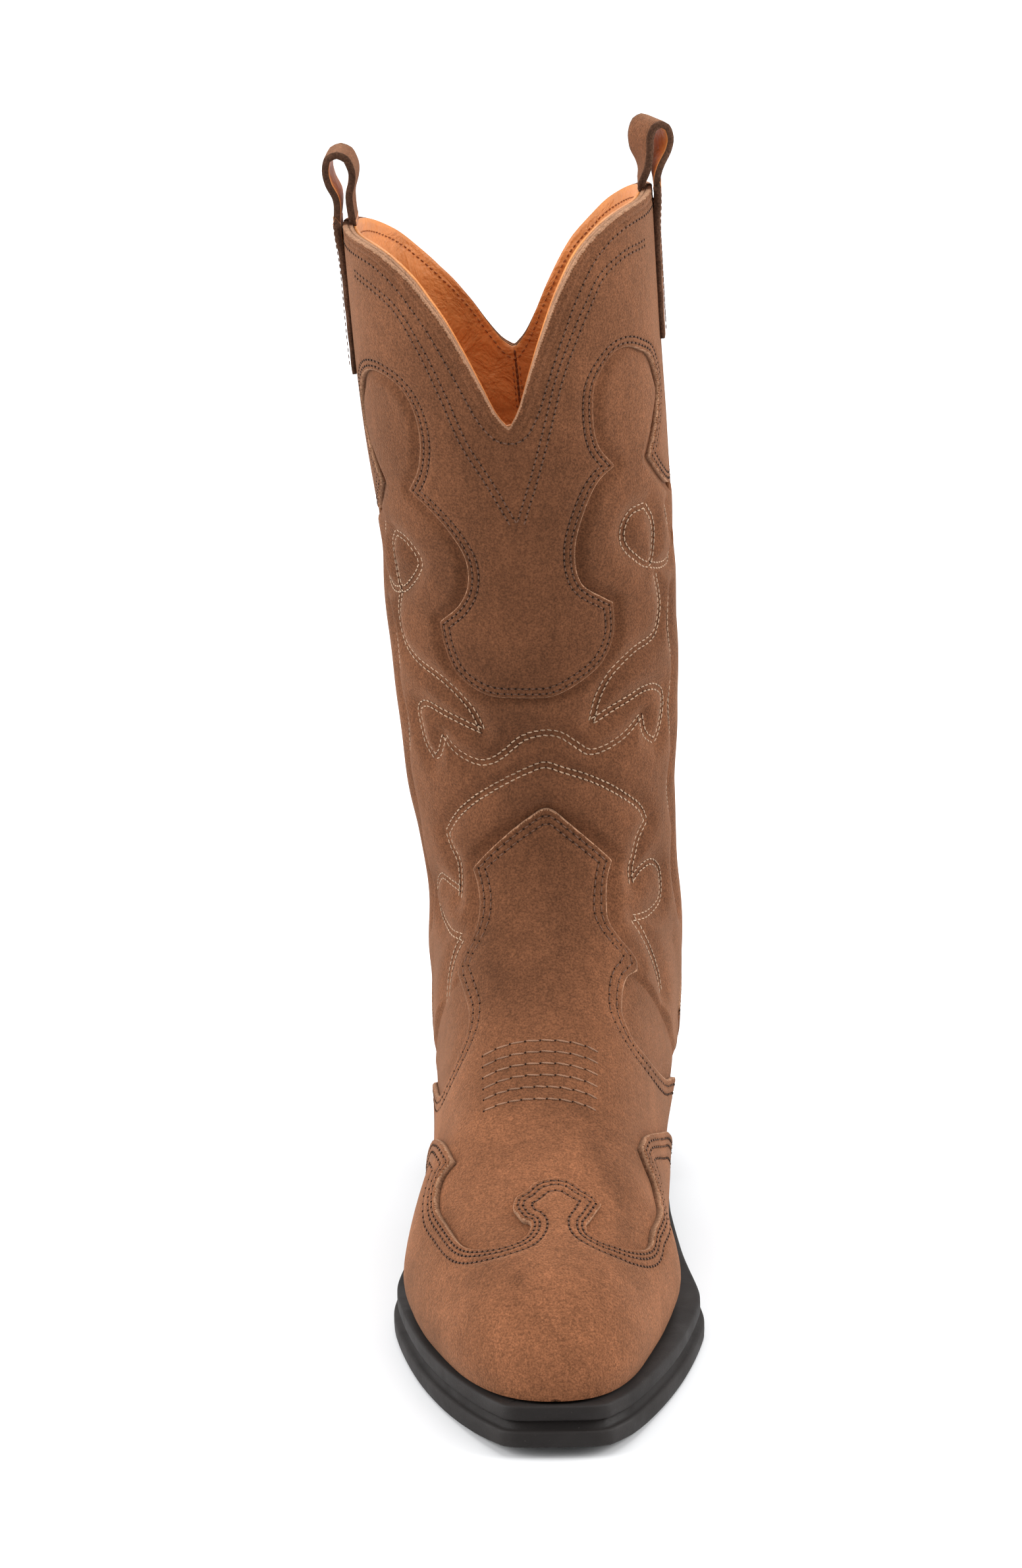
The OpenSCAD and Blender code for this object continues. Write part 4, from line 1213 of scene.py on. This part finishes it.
def loft_rings(name, rings, material, replaced):
    """A closed solid through rings of the same length, capped by triangulated ends."""
    m = len(rings[0])
    v = np.vstack(rings)
    faces = []
    for r in range(len(rings) - 1):
        a = r * m + np.arange(m)
        b = r * m + (np.arange(m) + 1) % m
        faces += np.stack([a, b, b + m, a + m], -1).tolist()
    last = (len(rings) - 1) * m
    for base, flip in ((0, True), (last, False)):
        ring = v[base:base + m]
        made = geometry.tessellate_polygon([[Vector((*q[:2], 0)) for q in ring]])
        for t in made:
            a, b, c = (v[base + k] for k in t)
            up = np.cross(b - a, c - a)[2] > 0
            t = [base + k for k in t]
            faces.append(t if up != flip else t[::-1])
    area = np.sum(rings[0][:, 0] * np.roll(rings[0][:, 1], -1)
                  - rings[0][:, 1] * np.roll(rings[0][:, 0], -1))
    if area < 0:
        sides = (len(rings) - 1) * m
        faces = [f[::-1] for f in faces[:sides]] + faces[sides:]
    return piece(name, v, faces, [material], replaced)


def ring_at(line, inset_by, z):
    closed = np.vstack([line[-2:], line, line[:2]])
    area = np.sum(line[:, 0] * np.roll(line[:, 1], -1) - line[:, 1] * np.roll(line[:, 0], -1))
    flat = offset_line(closed, inset_by if area > 0 else -inset_by)[2:-2]
    return np.stack([flat[:, 0], flat[:, 1], z(flat[:, 1])], -1)


outline = sole_outline()


def welt_skin():
    """Upper sole band: a flat ledge with softly rounded edges."""
    profile = [(9, 0.0), (2.3, 0.0), (1.6, -0.15), (1.3, -0.6), (1.25, -2.5),
               (1.3, -4.4), (1.7, -WELT_T + 0.05), (6, -WELT_T + 0.02)]
    rings = [ring_at(outline, d, lambda y, h=h: seat(y) + h - 0.05) for d, h in profile]
    loft_rings("welt_skin", rings[::-1], M_RUBBER, ["welt"])


def outsole_skin():
    """Groove, lower band and tread."""
    top = -WELT_T - 0.1
    groove = top - GROOVE_T + 0.1
    profile = [(6, top), (2.6, top), (2.5, groove + 0.3), (1.2, groove), (0.35, groove - 0.2),
               (0.0, groove - 0.8)]
    rings = [ring_at(outline, d, lambda y, h=h: seat(y) + h) for d, h in profile]
    for d, k in ((0.0, 0.45), (0.1, 0.85), (0.7, 1.0)):
        rings.append(ring_at(outline, d, lambda y, k=k: (seat(y) + groove - 0.8) * (1 - k)
                             + (tread(y) + 0.02) * k))
    rings.append(ring_at(outline, 3, tread))
    loft_rings("outsole_skin", rings[::-1], M_RUBBER, ["outsole"])


welt_skin()
outsole_skin()


def heel_ring(z, grow=0.0):
    """Ring of the heel at height z: straight breast, straight sides and a round back."""
    u = 1 - z / HEEL_SEAT_Z
    w, y0, deep, breast = 37.4 - 5 * u + grow, 98 - 2 * u, 44.5 - 9 * u + grow, 70 + 3 * u - grow
    a = np.radians(np.linspace(180, 0, 61))
    x = w * np.sign(np.cos(a)) * np.abs(np.cos(a))**0.85
    y = y0 + deep * np.sin(a)**0.85
    line = np.vstack([[-w, breast], [-w, breast + 8], np.stack([x, y], -1),
                      [w, breast + 8], [w, breast]])
    line = line + (1.2, 0)
    line = resample(np.vstack([line, line[:1]]), 2.0)
    n = 150
    pick = np.linspace(0, len(line) - 1, n + 1)[:-1]
    line = np.stack([np.interp(pick, np.arange(len(line)), line[:, k]) for k in range(2)], -1)
    return np.column_stack([line, np.full(n, z)])


def heel_skins():
    """Stacked heel block, with faint lift lines, and its top piece with a beveled rim."""
    rings = [heel_ring(TOP_PIECE_T + 0.05, -0.35), heel_ring(TOP_PIECE_T + 0.4, -0.05)]
    for z in np.arange(10.4, HEEL_SEAT_Z - 3, 3.4):
        rings += [heel_ring(z - 0.25), heel_ring(z, -0.22), heel_ring(z + 0.25)]
    rings += [heel_ring(HEEL_SEAT_Z - 0.4), heel_ring(HEEL_SEAT_Z - 0.06, -0.2)]
    loft_rings("heel_block_skin", rings, M_HEEL, ["heel_block"])
    rings = [heel_ring(0, -1.1), heel_ring(0.3, -0.4), heel_ring(1.1), heel_ring(4),
             heel_ring(TOP_PIECE_T - 0.8), heel_ring(TOP_PIECE_T - 0.15, -0.4)]
    loft_rings("heel_top_piece_skin", rings, M_HEEL, ["heel_top_piece"])


heel_skins()


def sock_skin():
    """Padded sock liner, dished along its middle, inside the boot."""
    k = 9.2
    u = np.linspace(0, 1, 70)
    y = -125 + 250 * (1 - np.cos(np.pi * u)) / 2
    front_cut = np.maximum(0, (TOE_START - y) / (TOE_START - TOE_END - k))
    back_cut = np.maximum(0, (y - HEEL_START) / (HEEL_END - k - HEEL_START))
    w = (half(y) - k) * np.maximum(0.002, 1 - front_cut**2.5 - back_cut**2.5)**0.4
    a = np.linspace(-1, 1, 25)
    x = mid(y)[:, None] + w[:, None] * a[None, :]
    yy = np.repeat(y[:, None], 25, 1)
    top = np.broadcast_to(4 - 0.35 * (1 - a**2), yy.shape)
    p = np.stack([x, yy, seat(yy)], -1)
    n = np.broadcast_to([0.0, 0.0, 1.0], p.shape)
    v, f, _ = grid_solid(p, n, np.full(yy.shape, 2.56), top)
    f = f[:, ::-1]
    piece("sock_liner_skin", v, f, [M_SOCK], ["sock_liner"])


sock_skin()

# ---------------------------------------------------------------- CAD nodes that stay
KEPT = {"insole_board": M_BOARD, "cork_filler": M_CORK, "shank": M_STEEL,
        "toe_puff": M_STIFF, "heel_stiffener": M_STIFF}
for node, material in KEPT.items():
    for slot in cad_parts[node].material_slots:
        slot.material = material


# ---------------------------------------------------------------- camera, floor and light
def camera():
    """The photograph's view: 1.65 m in front, 0.74 m up, looking slightly down."""
    pitch, roll, yaw = map(math.radians, (18.85, -1.35, -1.4))
    fw = Vector((math.sin(yaw) * math.cos(pitch), math.cos(yaw) * math.cos(pitch),
                 -math.sin(pitch)))
    r0 = Vector((math.cos(yaw), -math.sin(yaw), 0))
    u0 = r0.cross(fw)
    r = r0 * math.cos(roll) + u0 * math.sin(roll)
    u = -r0 * math.sin(roll) + u0 * math.cos(roll)
    cam = bpy.data.cameras.new("camera")
    cam.sensor_fit, cam.sensor_height, cam.lens = "VERTICAL", 36, 8140 * 36 / 2380
    cam.clip_end = 40
    obj = bpy.data.objects.new("camera", cam)
    m = [[r[i], u[i], -fw[i], 0] for i in range(3)] + [[0, 0, 0, 1]]
    obj.matrix_world = Matrix(m)
    obj.location = ((30 + SHIFT_X) * MM, -1.650, 0.736)
    bpy.context.scene.collection.objects.link(obj)
    bpy.context.scene.camera = obj


def floor_plane():
    """A plain pale floor, wide enough for every view."""
    size, n = 14.0, 8
    x = np.linspace(-size, size, n)
    v = [(a, b, 0) for a in x for b in x]
    f = [(i * n + j, (i + 1) * n + j, (i + 1) * n + j + 1, i * n + j + 1)
         for i in range(n - 1) for j in range(n - 1)]
    mesh = bpy.data.meshes.new("floor")
    mesh.from_pydata(v, [], f)
    mesh.update()
    obj = bpy.data.objects.new("floor", mesh)
    bpy.context.scene.collection.objects.link(obj)
    m, nodes, links, p = shader("floor_white")
    tint = ramp_of(nodes, links, noise_of(nodes, links, object_coords(nodes), 3),
                   [(0.3, (0.745, 0.75, 0.76)), (0.7, (0.765, 0.77, 0.78))])
    links.new(tint, p.inputs["Base Color"])
    p.inputs["Roughness"].default_value = 0.9
    p.inputs["Specular IOR Level"].default_value = 0.1
    mesh.materials.append(m)


def lamp(name, at, aim, size, power, colour=(1, 1, 1)):
    light = bpy.data.lights.new(name, "AREA")
    light.shape, light.size, light.energy, light.color = "SQUARE", size, power, colour
    obj = bpy.data.objects.new(name, light)
    obj.location = at
    obj.rotation_euler = (Vector(aim) - Vector(at)).to_track_quat("-Z", "Y").to_euler()
    bpy.context.scene.collection.objects.link(obj)


def lights():
    """Soft studio light: an even white room, three panels round the boot and one that
    lights the floor behind it."""
    world = bpy.data.worlds.new("studio")
    world.use_nodes = True
    back = world.node_tree.nodes["Background"]
    back.inputs["Color"].default_value = (1, 1, 1, 1)
    back.inputs["Strength"].default_value = 0.58
    bpy.context.scene.world = world
    lamp("left_panel", (-1.7, -0.2, 0.9), (0, 0, 0.15), 1.3, 39)
    lamp("right_panel", (1.8, -0.1, 1.0), (0, 0, 0.15), 1.3, 42)
    lamp("top_panel", (0.1, 0.1, 2.0), (0, 0, 0.1), 1.5, 19)
    lamp("far_panel", (0.0, 3.3, 2.6), (0, 3.6, 0), 3.0, 120)
    bpy.context.scene.view_settings.view_transform = "Standard"


camera()
floor_plane()
lights()
